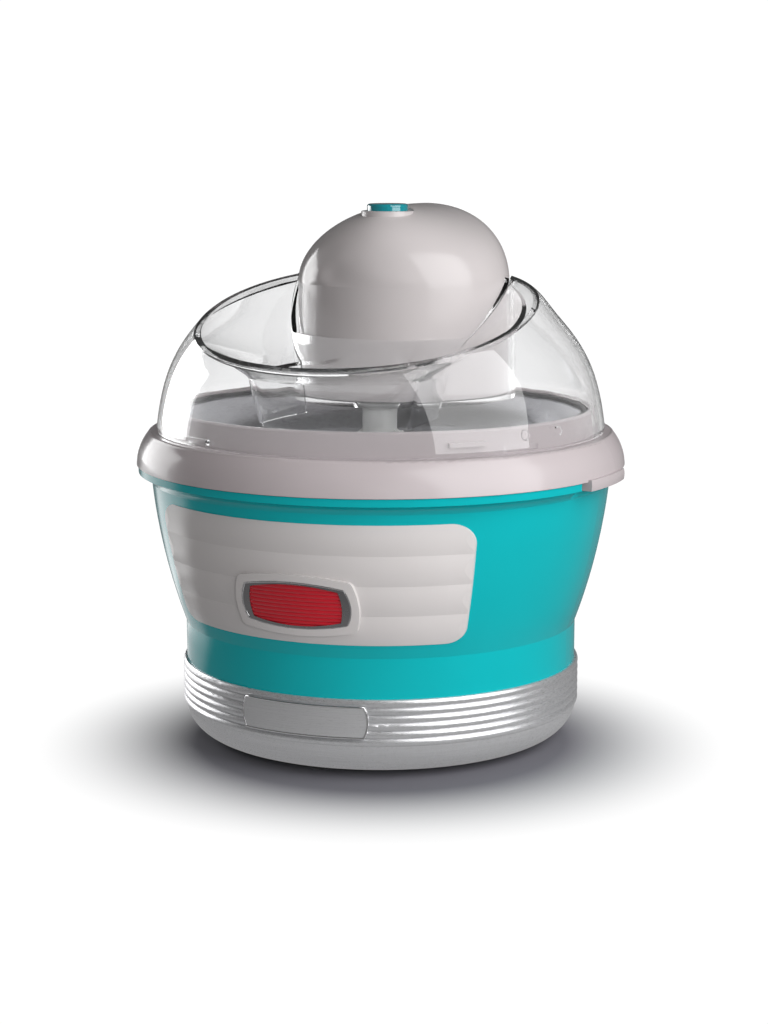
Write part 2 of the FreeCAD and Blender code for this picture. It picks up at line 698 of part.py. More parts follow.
def bowl_shell_and_liner():
    flange_bottom = S.ring_bottom + 3
    flange_top = S.ring_bottom + 6
    wall = S.shell_wall
    shell = [
        (6, S.shell_bottom),
        (S.shell_foot, S.shell_bottom),
        (S.shell_foot + 6.5, S.shell_bottom + 7),
        (S.shell_top_radius, S.ring_bottom),
        (S.lip_outer - 0.4, flange_bottom),
        (S.lip_outer - 0.4, flange_top),
        (S.lip_inner, flange_top),
        (S.shell_top_radius - wall, S.ring_bottom + 1.6),
        (S.shell_foot + 6.5 - wall, S.shell_bottom + 7.4),
        (S.shell_foot - 0.6, S.shell_bottom + wall),
        (6, S.shell_bottom + wall),
    ]
    publish(turned("shell_body", shell, {1: 1.6, 8: -1.5}), "bowl_shell")

    floor, foot, neck = S.liner_floor, S.liner_foot, S.liner_neck
    metal = S.liner_wall
    rim = S.lip_inner - 0.3
    liner = [
        (0, floor - metal),
        (foot - 6, floor - metal),
        (foot + metal, floor + 6),
        (neck + metal, S.liner_neck_height),
        (rim, S.lip_height - 4.5),
        (rim, S.lip_height - 3.5),
        (rim - metal, S.lip_height - 3.5),
        (rim - metal, S.lip_height - 4.2),
        (neck, S.liner_neck_height + 0.3),
        (foot, floor + 6.3),
        (foot - 6.4, floor),
        (S.pip_radius + 1, floor),
        (S.pip_radius, floor + S.pip_height),
        (0, floor + S.pip_height),
    ]
    bulges = {1: 2.4, 3: -1.6, 7: 1.5, 9: -2.2}
    publish(turned("liner_body", liner, bulges), "bowl_liner")

    coolant_top = 130
    rise = (coolant_top - floor - 6) / (S.liner_neck_height - floor - 6)
    shell_rise = (coolant_top - S.shell_bottom - 7) / (S.ring_bottom - S.shell_bottom - 7)
    shell_inside = S.shell_foot + 6.5 - wall
    coolant = [
        (0, S.shell_bottom + wall + 0.1),
        (S.shell_foot - 1.4, S.shell_bottom + wall + 0.1),
        (shell_inside - 0.5, S.shell_bottom + 8.4),
        (shell_inside - 0.5 + (S.shell_top_radius - S.shell_foot - 6.5) * shell_rise, coolant_top),
        (foot + metal + 0.5 + (neck - foot) * rise, coolant_top),
        (foot + metal + 1.4, floor + 5),
        (foot + metal + 0.6, floor - 0.5),
        (foot - 2, floor - metal - 0.2),
        (0, floor - metal - 0.2),
    ]
    publish(turned("coolant_body", coolant), "coolant")

    plug_top = S.shell_bottom + wall
    plug = [(0, S.shell_bottom - 1.4), (8, S.shell_bottom - 1.4), (8, S.shell_bottom)]
    plug += [(6, S.shell_bottom), (6, plug_top), (0, plug_top)]
    publish(turned("plug_body", plug), "filling_plug")
    seal = box_ring(rim - 2.2, rim + 0.2, S.lip_height - 3.4, S.lip_height - 1.6)
    publish(turned("seal_body", seal, {2: 0.3}), "bowl_seal")


# ---------------------------------------------------------------- paddle


def hexagon(sketch, across_flats):
    """A hexagon round the axis, its flats facing +Y and -Y."""
    reach = as_size(across_flats) / (2 * math.cos(math.radians(30)))
    corners = []
    for corner in range(6):
        turn_angle = math.radians(60 * corner)
        corners.append((reach * math.cos(turn_angle), reach * math.sin(turn_angle)))
    outline(sketch, corners)


def paddle():
    """Flat frame with two windows on each side of a round neck that takes the output shaft."""
    neck = S.neck_radius
    right = [(S.paddle_foot, S.paddle_bottom), (S.paddle_top, S.paddle_shoulder), (30, 140), (neck, 152)]
    left = [(-as_size(x), y) for x, y in reversed(right)]
    body = new_body("paddle_body")
    sketch = new_sketch(body, "XZ_Plane")
    outline(sketch, right + left, {1: 1.5, 2: -1.2, 4: -1.2, 5: 1.5})
    pad = body.newObject("PartDesign::Pad", "paddle_blade")
    pad.Profile = sketch
    pad.SideType = "Symmetric"
    bind(pad, "Length", S.paddle_thickness)

    bar = 10
    windows = new_sketch(body, "XZ_Plane")
    upper, lower = [(14, 109), (70, 109), (71.6, 123.5), (29, 130), (14, 138)], None
    lower = [(14, S.paddle_bottom + bar), (S.paddle_foot - 9.5, S.paddle_bottom + bar), (69.2, 101), (14, 101)]
    for window in (upper, lower):
        outline(windows, window)
        outline(windows, [(-as_size(x), y) for x, y in reversed(window)])
    cut = body.newObject("PartDesign::Pocket", "paddle_windows")
    cut.Profile = windows
    cut.SideType = "Symmetric"
    bind(cut, "Length", 2 * S.paddle_thickness)

    stem_bottom = S.paddle_bottom
    socket = S.pip_radius + 0.9
    stem = [
        (socket, stem_bottom),
        (neck - 1, stem_bottom),
        (neck, 150),
        (neck, S.neck_top - 1),
        (neck - 1, S.neck_top),
        (0, S.neck_top),
        (0, stem_bottom + S.pip_height),
        (socket, stem_bottom + S.pip_height),
    ]
    turn(body, stem)
    seat = new_sketch(body, "XY_Plane", S.drive_bottom - 1)
    hexagon(seat, S.drive_flats + 0.3)
    hole = body.newObject("PartDesign::Pocket", "drive_socket")
    hole.Profile = seat
    hole.Reversed = True
    bind(hole, "Length", S.neck_top - S.drive_bottom + 2)
    bored(body, stem_bottom - 1, S.pip_height + 1.3, lambda s: circles(s, [(0, 0)], socket))
    publish(body, "paddle")


# ---------------------------------------------------------------- lid


def solid_of_turn(points_upward, bottom):
    """Solid of revolution under a smooth curve of (radius, height) points that ends near the axis."""
    curve = Part.BSplineCurve()
    curve.interpolate([FreeCAD.Vector(radius, 0, height) for radius, height in points_upward])
    first_radius, first_height = points_upward[0]
    last_radius, last_height = points_upward[-1]
    foot = FreeCAD.Vector(first_radius, 0, bottom)
    start = FreeCAD.Vector(first_radius, 0, first_height)
    crown = FreeCAD.Vector(0, 0, last_height)
    end = FreeCAD.Vector(last_radius, 0, last_height)
    edges = [
        Part.makeLine(FreeCAD.Vector(0, 0, bottom), foot),
        Part.makeLine(foot, start),
        curve.toShape(),
        Part.makeLine(end, crown),
        Part.makeLine(crown, FreeCAD.Vector(0, 0, bottom)),
    ]
    return Part.Face(Part.Wire(edges)).revolve(FreeCAD.Vector(), UP, 360)


def dome_solid(inset):
    """The dome filled in, with its surface moved in by inset."""
    radius = S.dome_radius.value
    bottom = S.dome_bottom.value
    outside = [
        (radius, bottom + 2),
        (radius - 2.1, bottom + 15),
        (radius - 7, bottom + 31),
        (radius - 15.8, bottom + 46),
        (radius - 25.3, bottom + 57.5),
        (radius - 34, bottom + 67.5),
        (radius - 45, bottom + 74),
        (radius - 60, bottom + 77),
    ]
    points = []
    for index, (reach, height) in enumerate(outside):
        before = outside[max(index - 1, 0)]
        after = outside[min(index + 1, len(outside) - 1)]
        run = FreeCAD.Vector(after[0] - before[0], 0, after[1] - before[1]).normalize()
        points.append((reach - run.z * inset, height + run.x * inset))
    return solid_of_turn(points, bottom)


def evenly(points, count):
    """Places at even spacing along a fine path of (x, y), without its last point."""
    runs = [math.dist(near, far) for near, far in zip(points, points[1:])]
    step = sum(runs) / count
    places = []
    walked, index = 0.0, 0
    for number in range(count):
        while walked + runs[index] < number * step:
            walked += runs[index]
            index += 1
        share = (number * step - walked) / runs[index]
        (x, y), (next_x, next_y) = points[index], points[index + 1]
        places.append((x + (next_x - x) * share, y + (next_y - y) * share))
    return places


def funnel_outline(half_width, front, back, squareness, middle, level, slope=0.0):
    """Outline of the funnel in a plane that climbs by slope towards the back: half an ellipse in front,
    and behind it a half that is an ellipse at squareness 2 and a squarer one above."""
    turns = [math.pi * step / 400 for step in range(401)]
    power = 2 / squareness
    behind = [
        (half_width * math.copysign(abs(math.cos(a)) ** power, math.cos(a)),
         -middle + back * abs(math.sin(a)) ** power)
        for a in turns
    ]
    ahead = [(-half_width * math.cos(a), -middle - front * math.sin(a)) for a in turns]
    points = evenly(behind, 32) + evenly(ahead, 32)
    curve = Part.BSplineCurve()
    curve.interpolate([FreeCAD.Vector(x, y, level + slope * y) for x, y in points], PeriodicFlag=True)
    return Part.Wire([curve.toShape()])


def funnel_solid(grow, sink):
    """Scoop and chute filled in: from the tilted rim to the chute's mouth and down to its end."""
    slope = math.tan(math.radians(S.rim_tilt.value))
    rim = funnel_outline(
        S.scoop_half_width.value + grow,
        S.scoop_front.value + grow,
        S.scoop_back.value + grow,
        2.0,
        S.scoop_middle.value,
        S.rim_height.value - sink,
        slope,
    )
    ends = []
    for level, narrower in (
        (S.chute_top.value - sink, 0.0),
        (S.chute_bottom.value - (0 if grow else 1), S.chute_taper.value),
    ):
        less = grow - narrower
        ends.append(
            funnel_outline(
                S.chute_half_width.value + less,
                S.chute_front.value + less,
                S.chute_back.value + less,
                2.5,
                S.chute_middle.value,
                level,
            )
        )
    upper = Part.makeLoft([rim, ends[0]], True, True)
    lower = Part.makeLoft(ends, True, True)
    return upper.fuse(lower).removeSplitter()


def under_rim(drop):
    """Everything under the tilted plane of the funnel's rim, lowered by drop."""
    block = Part.makeBox(400, 400, 400, FreeCAD.Vector(-200, -200, -400))
    place = FreeCAD.Vector(0, 0, S.rim_height.value - drop)
    block.Placement = FreeCAD.Placement(place, FreeCAD.Rotation(ACROSS, S.rim_tilt.value))
    return block


def cylinder(radius, bottom, top, x=0, y=0):
    values = [as_size(item).value for item in (radius, bottom, top, x, y)]
    radius, bottom, top, x, y = values
    return Part.makeCylinder(radius, top - bottom, FreeCAD.Vector(x, y, bottom))


def sector(inner, outer, bottom, top, direction, sweep):
    """Part of a ring, centred on a direction."""
    start = FreeCAD.Vector(0, 0, bottom)
    whole = Part.makeCylinder(outer, top - bottom, start, UP, sweep)
    hole = Part.makeCylinder(inner, top - bottom, start, UP, 360)
    part = whole.cut(hole)
    part.rotate(FreeCAD.Vector(), UP, direction - sweep / 2)
    return part


def above_collar():
    """Prism over the well's collar: level in front, then rising to the dome at both sides."""
    collar = S.collar_height.value
    profile = [(-90, collar), (0.4, collar), (28, 222.5), (28, 300), (-90, 300), (-90, collar)]
    wire = Part.makePolygon([FreeCAD.Vector(-100, y, z) for y, z in profile])
    return Part.Face(wire).extrude(ACROSS * 200)


def lid():
    wall = S.dome_wall.value
    well_outside = S.well_radius + wall
    inside = dome_solid(wall)
    shell = dome_solid(0).cut(inside).common(under_rim(0))
    well = cylinder(S.well_radius, S.well_floor, 300, 0, S.head_middle)
    well_block = cylinder(well_outside, S.well_floor, 300, 0, S.head_middle)
    dome = shell.cut(well)
    for quarter in range(4):
        lug = sector(
            S.lip_outer.value + 0.7,
            S.dome_radius.value - wall + 0.3,
            S.dome_bottom.value + 0.9,
            S.dome_bottom.value + 3.3,
            LUG_DIRECTION + 90 * quarter,
            S.lug_angle.value,
        )
        dome = dome.fuse(lug)
    made("lid_dome", dome.removeSplitter())

    flange = dome_solid(wall).common(under_rim(0)).cut(under_rim(wall))
    scoop = flange.fuse(funnel_solid(wall, wall).common(under_rim(0)).common(inside))
    scoop = scoop.cut(funnel_solid(0, 0)).cut(cylinder(well_outside, 100, 300, 0, S.head_middle))
    floor_top = S.well_floor + wall
    collar = well_block.cut(cylinder(S.well_radius, floor_top, 300, 0, S.head_middle))
    collar = collar.cut(above_collar()).common(inside)
    collar = collar.cut(cylinder(S.bush_radius + 0.15, S.well_floor - 1, floor_top + 1))
    made("lid_funnel", scoop.fuse(collar).removeSplitter())

    bush_top = floor_top + 1.6
    bush = [
        (S.bush_bore, S.well_floor - 1.8),
        (S.bush_radius + 1.4, S.well_floor - 1.8),
        (S.bush_radius + 1.4, S.well_floor - 0.2),
        (S.bush_radius, S.well_floor - 0.2),
        (S.bush_radius, floor_top + 0.2),
        (S.bush_radius + 1.7, floor_top + 0.2),
        (S.bush_radius + 1.7, bush_top),
        (S.bush_bore, bush_top),
    ]
    publish(turned("bush_body", bush), "lid_bush")


# ---------------------------------------------------------------- motor housing


def head_outline(climb, inset, height):
    """Closed outline of the head. climb runs from 0 at the shoulder to 1 at the crown: the sides
    close in like a circle, the front keeps full and the back keeps fuller."""
    radius = S.head_radius.value - inset
    middle, apex = S.head_middle.value, S.head_apex.value
    half_width = radius * math.sqrt(1 - climb**2)
    front = apex - (apex - middle + radius) * (1 - climb**1.8) ** (1 / 6)
    back = apex + (middle + radius - apex) * (1 - climb**3.3) ** (1 / 4)
    centre = middle + (apex - middle) * climb**2
    points = []
    count = 24
    for index in range(count):
        angle = 2 * math.pi * index / count
        reach = back - centre if math.sin(angle) > 0 else centre - front
        points.append(
            FreeCAD.Vector(half_width * math.cos(angle), centre + reach * math.sin(angle), height)
        )
    curve = Part.BSplineCurve()
    curve.interpolate(points, PeriodicFlag=True)
    return Part.Wire([curve.toShape()])


def head_solid(inset, bottom):
    """The head filled in, with its surface moved in by inset."""
    shoulder, top = S.head_shoulder.value, S.head_top.value - inset
    sections = []
    for share in (0, 0.2, 0.38, 0.55, 0.7, 0.82, 0.91, 0.955):
        climb = math.sin(share * math.pi / 2)
        sections.append(head_outline(climb, inset, shoulder + (top - shoulder) * climb))
    crown = Part.makeLoft(sections, True, False)
    straight_part = Part.Face(sections[0]).extrude(UP * (bottom - shoulder))
    return crown.fuse(straight_part)


def housing():
    cover_top = S.cover_bottom + S.cover_thickness
    outside = head_solid(0, S.head_bottom.value)
    inside = head_solid(S.head_wall.value, S.head_bottom.value - 1)
    shell = outside.cut(inside)
    places = on_circle(4, 46.8, 45, 0, S.head_middle.value)
    for x, y in places:
        boss = cylinder(4, cover_top + 0.1, 190, x, y).common(outside)
        shell = shell.fuse(boss).cut(cylinder(S.screw_radius, cover_top, 184, x, y))
    shell = shell.cut(cylinder(S.button_radius + 2.8, 240, 300, 0, S.button_middle))
    hole = Part.makeCylinder(6.05, 40, FreeCAD.Vector(0, 65, S.gland_level.value), BACK)
    made("motor_housing", shell.cut(hole))
    screws("housing_screws", places, 2.8, S.cover_bottom - 1.9, 1.9, 13)


def bottom_cover():
    middle = [(0, S.head_middle)]
    thickness = S.cover_thickness
    top = S.cover_bottom + thickness
    pin_place = [(0, cluster_offset())]
    posts = [(-29.5, 10.4), (29.5, 10.4), (-30, 53), (30, 53)]
    screw_places = on_circle(4, 46.8, 45, 0, S.head_middle.value)
    body = new_body("cover_body")
    raised(body, S.cover_bottom, thickness, lambda s: circles(s, middle, S.head_radius - S.head_wall - 0.15))
    raised(body, top, S.gear_level - 0.2 - top, lambda s: circles(s, [(0, 0)], 9.2))
    raised(body, top, 5, lambda s: circles(s, pin_place, 4))
    raised(body, top, S.plate_level - top, lambda s: circles(s, posts, 3.5))
    bored(body, S.cover_bottom, S.gear_level - S.cover_bottom, lambda s: circles(s, [(0, 0)], 7))
    bored(body, top - 1, 7, lambda s: circles(s, pin_place, 1.5))
    bored(body, S.plate_level - 8, 9, lambda s: circles(s, posts, S.screw_radius))
    bored(body, S.cover_bottom, thickness, lambda s: circles(s, screw_places, S.screw_radius + 0.1))
    publish(body, "motor_bottom_cover")
    bush = box_ring(S.shaft_radius + S.running_gap, 7, S.cover_bottom, S.gear_level - 0.2)
    publish(turned("output_bush_body", bush), "output_bush")
    return posts


# ---------------------------------------------------------------- gear train


def cluster_offset():
    """Distance from the output shaft to the reduction gear's pin."""
    return (OUTPUT_TEETH + PINION_TEETH) * DRIVE_MODULE / 2 + MESH_GAP


def rotor_offset():
    """Distance from the output shaft to the rotor."""
    return cluster_offset() + (WHEEL_TEETH + ROTOR_TEETH) * FAST_MODULE / 2 + MESH_GAP


def gear_solid(teeth, module, bottom, height, bore, phase):
    """Involute spur gear about Z, turned by phase degrees from a tooth on +X."""
    builder = fcgear.FCWireBuilder()
    involute.CreateExternalGear(builder, module, teeth, 20.0, False)
    wire = Part.Wire([piece.toShape() for piece in builder.wire])
    wire.translate(UP * bottom)
    solid = Part.Face(wire).extrude(UP * height)
    solid.rotate(FreeCAD.Vector(), UP, phase)
    return solid.cut(Part.makeCylinder(bore, height, FreeCAD.Vector(0, 0, bottom)))


def gear_train():
    output_level, wheel_level = S.gear_level.value, S.wheel_level.value
    made("output_gear", gear_solid(OUTPUT_TEETH, DRIVE_MODULE, output_level, 6, S.shaft_radius.value, 90))
    shaft = new_body("output_shaft_body")
    round_level = S.neck_top + 0.3
    bottom = new_sketch(shaft, "XY_Plane", S.drive_bottom)
    hexagon(bottom, S.drive_flats)
    pad = shaft.newObject("PartDesign::Pad", "output_hexagon")
    pad.Profile = bottom
    bind(pad, "Length", round_level - S.drive_bottom)
    journal = S.gear_level + 6 - round_level
    raised(shaft, round_level, journal, lambda s: circles(s, [(0, 0)], S.shaft_radius))
    publish(shaft, "output_shaft")

    bore = 1.5 + S.running_gap.value
    pinion_phase = -90 + 180 / PINION_TEETH
    pinion_bottom = output_level - 0.4
    pinion_height = wheel_level - pinion_bottom
    pinion = gear_solid(PINION_TEETH, DRIVE_MODULE, pinion_bottom, pinion_height, bore, pinion_phase)
    wheel = gear_solid(WHEEL_TEETH, FAST_MODULE, wheel_level, 4, bore, 90)
    hub = Part.makeCylinder(4, 1.4, FreeCAD.Vector(0, 0, wheel_level + 4))
    hub = hub.cut(Part.makeCylinder(bore, 1.4, FreeCAD.Vector(0, 0, wheel_level + 4)))
    gear = made("reduction_gear", pinion.fuse(wheel).fuse(hub))
    gear.Placement = FreeCAD.Placement(FreeCAD.Vector(0, cluster_offset(), 0), FreeCAD.Rotation())
    pin_body = new_body("pin_body")
    pin_bottom = S.cover_bottom + S.cover_thickness - 1
    pin_height = S.plate_level + S.gear_plate_thickness - pin_bottom
    raised(pin_body, pin_bottom, pin_height, lambda s: circles(s, [(0, cluster_offset())], 1.5))
    publish(pin_body, "reduction_pin")

    rotor_phase = -90 + 180 / ROTOR_TEETH
    rotor = gear_solid(ROTOR_TEETH, FAST_MODULE, wheel_level - 0.3, 5.6, 1.5, rotor_phase)
    pinion_item = made("rotor_pinion", rotor)
    place = FreeCAD.Vector(0, rotor_offset(), 0)
    pinion_item.Placement = FreeCAD.Placement(place, FreeCAD.Rotation())
    plate_top = S.plate_level + S.gear_plate_thickness
    shaft_top = plate_top + S.can_height - 1.4
    parts = {
        "rotor_shaft": [(0, wheel_level - 0.3), (1.5, wheel_level - 0.3), (1.5, shaft_top), (0, shaft_top)],
        "rotor_magnet": box_ring(1.5, 12, plate_top + 3.6, plate_top + 19.6),
        "rotor_bush": box_ring(1.5 + S.running_gap, 6, S.plate_level, plate_top + 1.6),
        "motor_coil": box_ring(14, 22.5, plate_top + 2, plate_top + 20),
    }
    for node, profile in parts.items():
        item = publish(turned(node + "_body", profile), node)
        bind(item, "Placement.Base.y", rotor_offset())


def gear_plate_and_motor(posts):
    plate_top = S.plate_level + S.gear_plate_thickness
    rotor_place = [(0, rotor_offset())]
    body = new_body("gear_plate_body")
    raised(body, S.plate_level, S.gear_plate_thickness, lambda s: circles(s, [(0, S.head_middle)], 42))
    bored(body, S.plate_level, S.gear_plate_thickness, lambda s: circles(s, rotor_place, 6))
    bored(body, S.plate_level, S.gear_plate_thickness, lambda s: circles(s, [(0, cluster_offset())], 1.5))
    bored(body, S.plate_level, S.gear_plate_thickness, lambda s: circles(s, posts, S.screw_radius + 0.1))
    publish(body, "gear_plate")

    height = S.can_height
    wall = 1
    ear_places = [(x, y - rotor_offset()) for x, y in posts[2:]]
    can = new_body("can_body")
    ear_width = 2 * ear_places[1][0]
    raised(can, plate_top, wall, lambda s: rectangle(s, 0, ear_places[0][1], ear_width, 7))
    raised(can, plate_top, wall, lambda s: circles(s, ear_places, 4))
    bored(can, plate_top, wall, lambda s: circles(s, [(0, 0)], S.can_radius - wall))
    profile = [
        (S.can_radius - wall, plate_top),
        (S.can_radius, plate_top),
        (S.can_radius, plate_top + height - 1),
        (S.can_radius - 1, plate_top + height),
        (0, plate_top + height),
        (0, plate_top + height - 1.3),
        (1.5 + S.running_gap, plate_top + height - 1.3),
        (1.5 + S.running_gap, plate_top + height - 4),
        (4, plate_top + height - 4),
        (4, plate_top + height - wall),
        (S.can_radius - wall, plate_top + height - wall),
    ]
    turn(can, profile)
    bored(can, plate_top, wall, lambda s: circles(s, ear_places, S.screw_radius + 0.1))
    publish(can, "motor_can")
    bind(can, "Placement.Base.y", rotor_offset())

    for node, places, level in (
        ("plate_screws", posts[:2], plate_top),
        ("motor_screws", posts[2:], plate_top + wall),
    ):
        mirrored = [(x, -as_size(y)) for x, y in places]
        flipped(screws(node, mirrored, 2.8, level - 1.6, 1.6, 7), level)


# ---------------------------------------------------------------- switch, button and wiring


def tube(points, radius, bend):
    """Round lead along straight runs joined by tangent arcs of radius bend."""
    path = []
    here = points[0]
    for before, corner, after in zip(points, points[1:], points[2:]):
        arriving = (corner - before).normalize()
        leaving = (after - corner).normalize()
        half_turn = arriving.getAngle(leaving) / 2
        setback = bend * math.tan(half_turn)
        arc_start = corner - arriving * setback
        arc_end = corner + leaving * setback
        inward = (leaving - arriving).normalize()
        sagitta = bend / math.cos(half_turn) - bend
        path.append(Part.makeLine(here, arc_start))
        path.append(Part.Arc(arc_start, corner + inward * sagitta, arc_end).toShape())
        here = arc_end
    path.append(Part.makeLine(here, points[-1]))
    direction = (points[1] - points[0]).normalize()
    ring = Part.Wire([Part.Circle(points[0], direction, radius).toShape()])
    return Part.Wire(path).makePipeShell([ring], True, True)


def helix_point(radius, height, turns, share):
    """A point of a helix, share of the way up."""
    angle = 2 * math.pi * turns * share
    return FreeCAD.Vector(radius * math.cos(angle), radius * math.sin(angle), height * share)


def switch_and_button():
    y = S.button_middle
    bracket = new_body("bracket_body")
    foot = S.plate_level + S.gear_plate_thickness
    case_bottom = 222
    sheet_metal = 1.5
    outline_points = [
        (0, foot),
        (14, foot),
        (14, foot + sheet_metal),
        (sheet_metal, foot + sheet_metal),
        (sheet_metal, case_bottom - sheet_metal),
        (16, case_bottom - sheet_metal),
        (16, case_bottom),
        (0, case_bottom),
    ]
    sketch = new_sketch(bracket, "YZ_Plane")
    outline(sketch, outline_points)
    pad = bracket.newObject("PartDesign::Pad", "bracket_pad")
    pad.Profile = sketch
    pad.SideType = "Symmetric"
    bind(pad, "Length", 20)
    publish(bracket, "switch_bracket")

    case = new_body("switch_body")
    raised(case, case_bottom, 18, lambda s: rectangle(s, 0, y, 16, 12))
    bored(case, case_bottom + 10, 9, lambda s: circles(s, [(0, y)], 2.25))
    publish(case, "switch_case")
    plunger = new_body("plunger_body")
    raised(plunger, case_bottom + 13.6, 7.4, lambda s: circles(s, [(0, y)], 2))
    publish(plunger, "switch_plunger")

    bezel_floor = S.button_top - 11.2
    radius = S.button_radius
    bezel = [
        (2.9, bezel_floor),
        (radius + 2.8, bezel_floor),
        (radius + 2.8, bezel_floor + 7.6),
        (radius + 0.4, bezel_floor + 7.6),
        (radius + 0.4, bezel_floor + 1.6),
        (2.9, bezel_floor + 1.6),
    ]
    cap_bottom = bezel_floor + 1.6 + S.button_travel + 0.3
    cap = [
        (0, case_bottom + 21),
        (2.5, case_bottom + 21),
        (2.5, S.button_top - 2),
        (radius - 1.6, S.button_top - 2.4),
        (radius - 1.6, cap_bottom),
        (radius, cap_bottom),
        (radius, S.button_top - 1.6),
        (radius - 1.6, S.button_top),
        (0, S.button_top),
    ]
    for node, profile, bulges in (
        ("button_bezel", bezel, {2: 0.3}),
        ("power_button", cap, {6: 0.6}),
    ):
        item = publish(turned(node + "_body", profile, bulges), node)
        bind(item, "Placement.Base.y", y)

    spring_bottom = (bezel_floor + 2.05).value
    spring_height = S.button_top.value - 2.9 - spring_bottom
    helix = Part.BSplineCurve()
    helix.interpolate([helix_point(5.5, spring_height, 4, share / 64) for share in range(65)])
    rise = FreeCAD.Vector(0, 8 * math.pi * 5.5, spring_height)
    ring = Part.Wire([Part.Circle(FreeCAD.Vector(5.5, 0, 0), rise, 0.4).toShape()])
    coil = Part.Wire([helix.toShape()]).makePipeShell([ring], True, True)
    spring = made("button_spring", coil)
    spring.Placement = FreeCAD.Placement(spot(0, y, spring_bottom), FreeCAD.Rotation())


def wiring():
    foot = S.plate_level + S.gear_plate_thickness
    block_x, block_y = -34, 31
    block = new_body("terminal_body")
    raised(block, foot, 12, lambda s: rectangle(s, block_x, block_y, 12, 18))
    publish(block, "terminal_block")
    block_top = foot.value + 12

    level = S.gland_level.value
    radius = S.gland_bore
    flange = S.head_middle + S.head_radius
    length = S.gland_length
    start = flange - 6.5
    gland = [(radius, 0), (6, 0), (6, 6.5), (8, 6.5), (8, 8.5), (5.6, 8.5), (4.8, length), (radius, length)]
    item = publish(turned("gland_body", gland), "cable_gland")
    item.Placement = FreeCAD.Placement(FreeCAD.Vector(), FreeCAD.Rotation(ACROSS, -90))
    bind(item, "Placement.Base.y", start)
    bind(item, "Placement.Base.z", level)

    switch_side, switch_level = 8, 227
    button_y = S.button_middle.value
    can_top = foot.value + S.can_height.value
    routes = [
        [(-4, start.value - 1, level), (-16, 68, 228), (-34, 52, 224), (-34, 36, 216), (-34, 36, block_top)],
        [(-34, 27, block_top), (-34, 27, 216), (-30, 14, 224), (-18, button_y, 227),
         (-switch_side, button_y, switch_level)],
        [(switch_side, button_y, switch_level), (20, button_y, 227), (24, 26, 227), (16, 44, 227),
         (16, 44, can_top)],
    ]
    leads = [tube([FreeCAD.Vector(*point) for point in route], 1.2, 3.5) for route in routes]
    made("inner_leads", Part.makeCompound(leads))


# ---------------------------------------------------------------- build and write

base()
base_plate_and_feet()
casing()
bowl_ring()
bowl_shell_and_liner()
paddle()
lid()
housing()
cover_posts = bottom_cover()
gear_train()
gear_plate_and_motor(cover_posts)
switch_and_button()
wiring()
doc.recompute()

failed = [item.Name for item in doc.Objects if "Invalid" in item.State or "Error" in item.State]
for node, item in NODES.items():
    shape = item.Shape
    if shape.isNull() or not shape.isValid() or not shape.Solids:
        failed.append(node)
if failed:
    raise RuntimeError(f"not built: {sorted(set(failed))}")

os.makedirs("parts", exist_ok=True)
for node, item in sorted(NODES.items()):
    item.Shape.exportStep(f"parts/{node}.step")
    print(f"{node:20s} {len(item.Shape.Solids)} solid(s) {item.Shape.Volume / 1000:9.2f} cm3")
print(len(NODES), "nodes")
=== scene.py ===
# %% [markdown]
# # An ice cream maker, dressed in Blender
#
# The object is a small electric ice cream maker for a kitchen counter: a silver base, a teal
# casing with a cream panel, a freezer bowl with a cream ring, a clear lid and a cream motor head
# with one round button.
#
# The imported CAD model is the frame. Every node of it keeps its place and its shape, so this script
# doesn't model those pieces again. It gives each one a finish, adds the trim that is too fine for
# a machined solid, and sets the stage. Lengths are metres, +Z is up and the front looks towards
# -Y.

# %% Load the frame
import math

import bmesh
import bpy
from mathutils import Matrix, Vector


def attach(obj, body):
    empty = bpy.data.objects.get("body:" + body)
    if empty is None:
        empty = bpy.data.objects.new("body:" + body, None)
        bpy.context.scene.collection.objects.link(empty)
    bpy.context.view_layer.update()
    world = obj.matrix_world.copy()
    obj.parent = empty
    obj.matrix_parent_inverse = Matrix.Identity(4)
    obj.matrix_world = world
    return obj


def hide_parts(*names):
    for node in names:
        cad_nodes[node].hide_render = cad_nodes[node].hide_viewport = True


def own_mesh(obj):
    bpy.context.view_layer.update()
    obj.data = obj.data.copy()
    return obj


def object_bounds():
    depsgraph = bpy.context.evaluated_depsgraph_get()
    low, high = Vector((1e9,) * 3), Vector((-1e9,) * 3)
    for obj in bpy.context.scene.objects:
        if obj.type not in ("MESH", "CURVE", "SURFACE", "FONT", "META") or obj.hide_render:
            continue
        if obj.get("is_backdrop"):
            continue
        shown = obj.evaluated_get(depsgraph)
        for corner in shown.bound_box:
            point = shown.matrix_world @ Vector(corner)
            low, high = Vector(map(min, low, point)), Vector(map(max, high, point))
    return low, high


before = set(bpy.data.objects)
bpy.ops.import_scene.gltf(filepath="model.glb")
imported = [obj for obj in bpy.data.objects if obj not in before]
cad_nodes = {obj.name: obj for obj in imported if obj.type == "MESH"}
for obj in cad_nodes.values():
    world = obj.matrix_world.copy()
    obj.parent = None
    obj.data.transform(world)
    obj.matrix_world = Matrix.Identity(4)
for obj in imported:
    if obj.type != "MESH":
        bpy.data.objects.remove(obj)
cad_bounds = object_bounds()

MM = 0.001


def print_box(title, bounds):
    low, high = bounds
    sides = ", ".join(f"{(top - bottom) / MM:.1f}" for bottom, top in zip(low, high))
    print(f"{title}: {sides} mm")


print(f"frame: {len(cad_nodes)} nodes")
print_box("CAD box", cad_bounds)

# %% [markdown]
# ## Shader nodes by script
#
# A material in Blender is a graph of nodes. It could be clicked together in the shader editor, but
# a script keeps it readable and gives the same graph each time. `add` makes a node and sets its
# options and inputs, `wire` joins two sockets by name, and `feed` takes either a number or another
# node's socket.


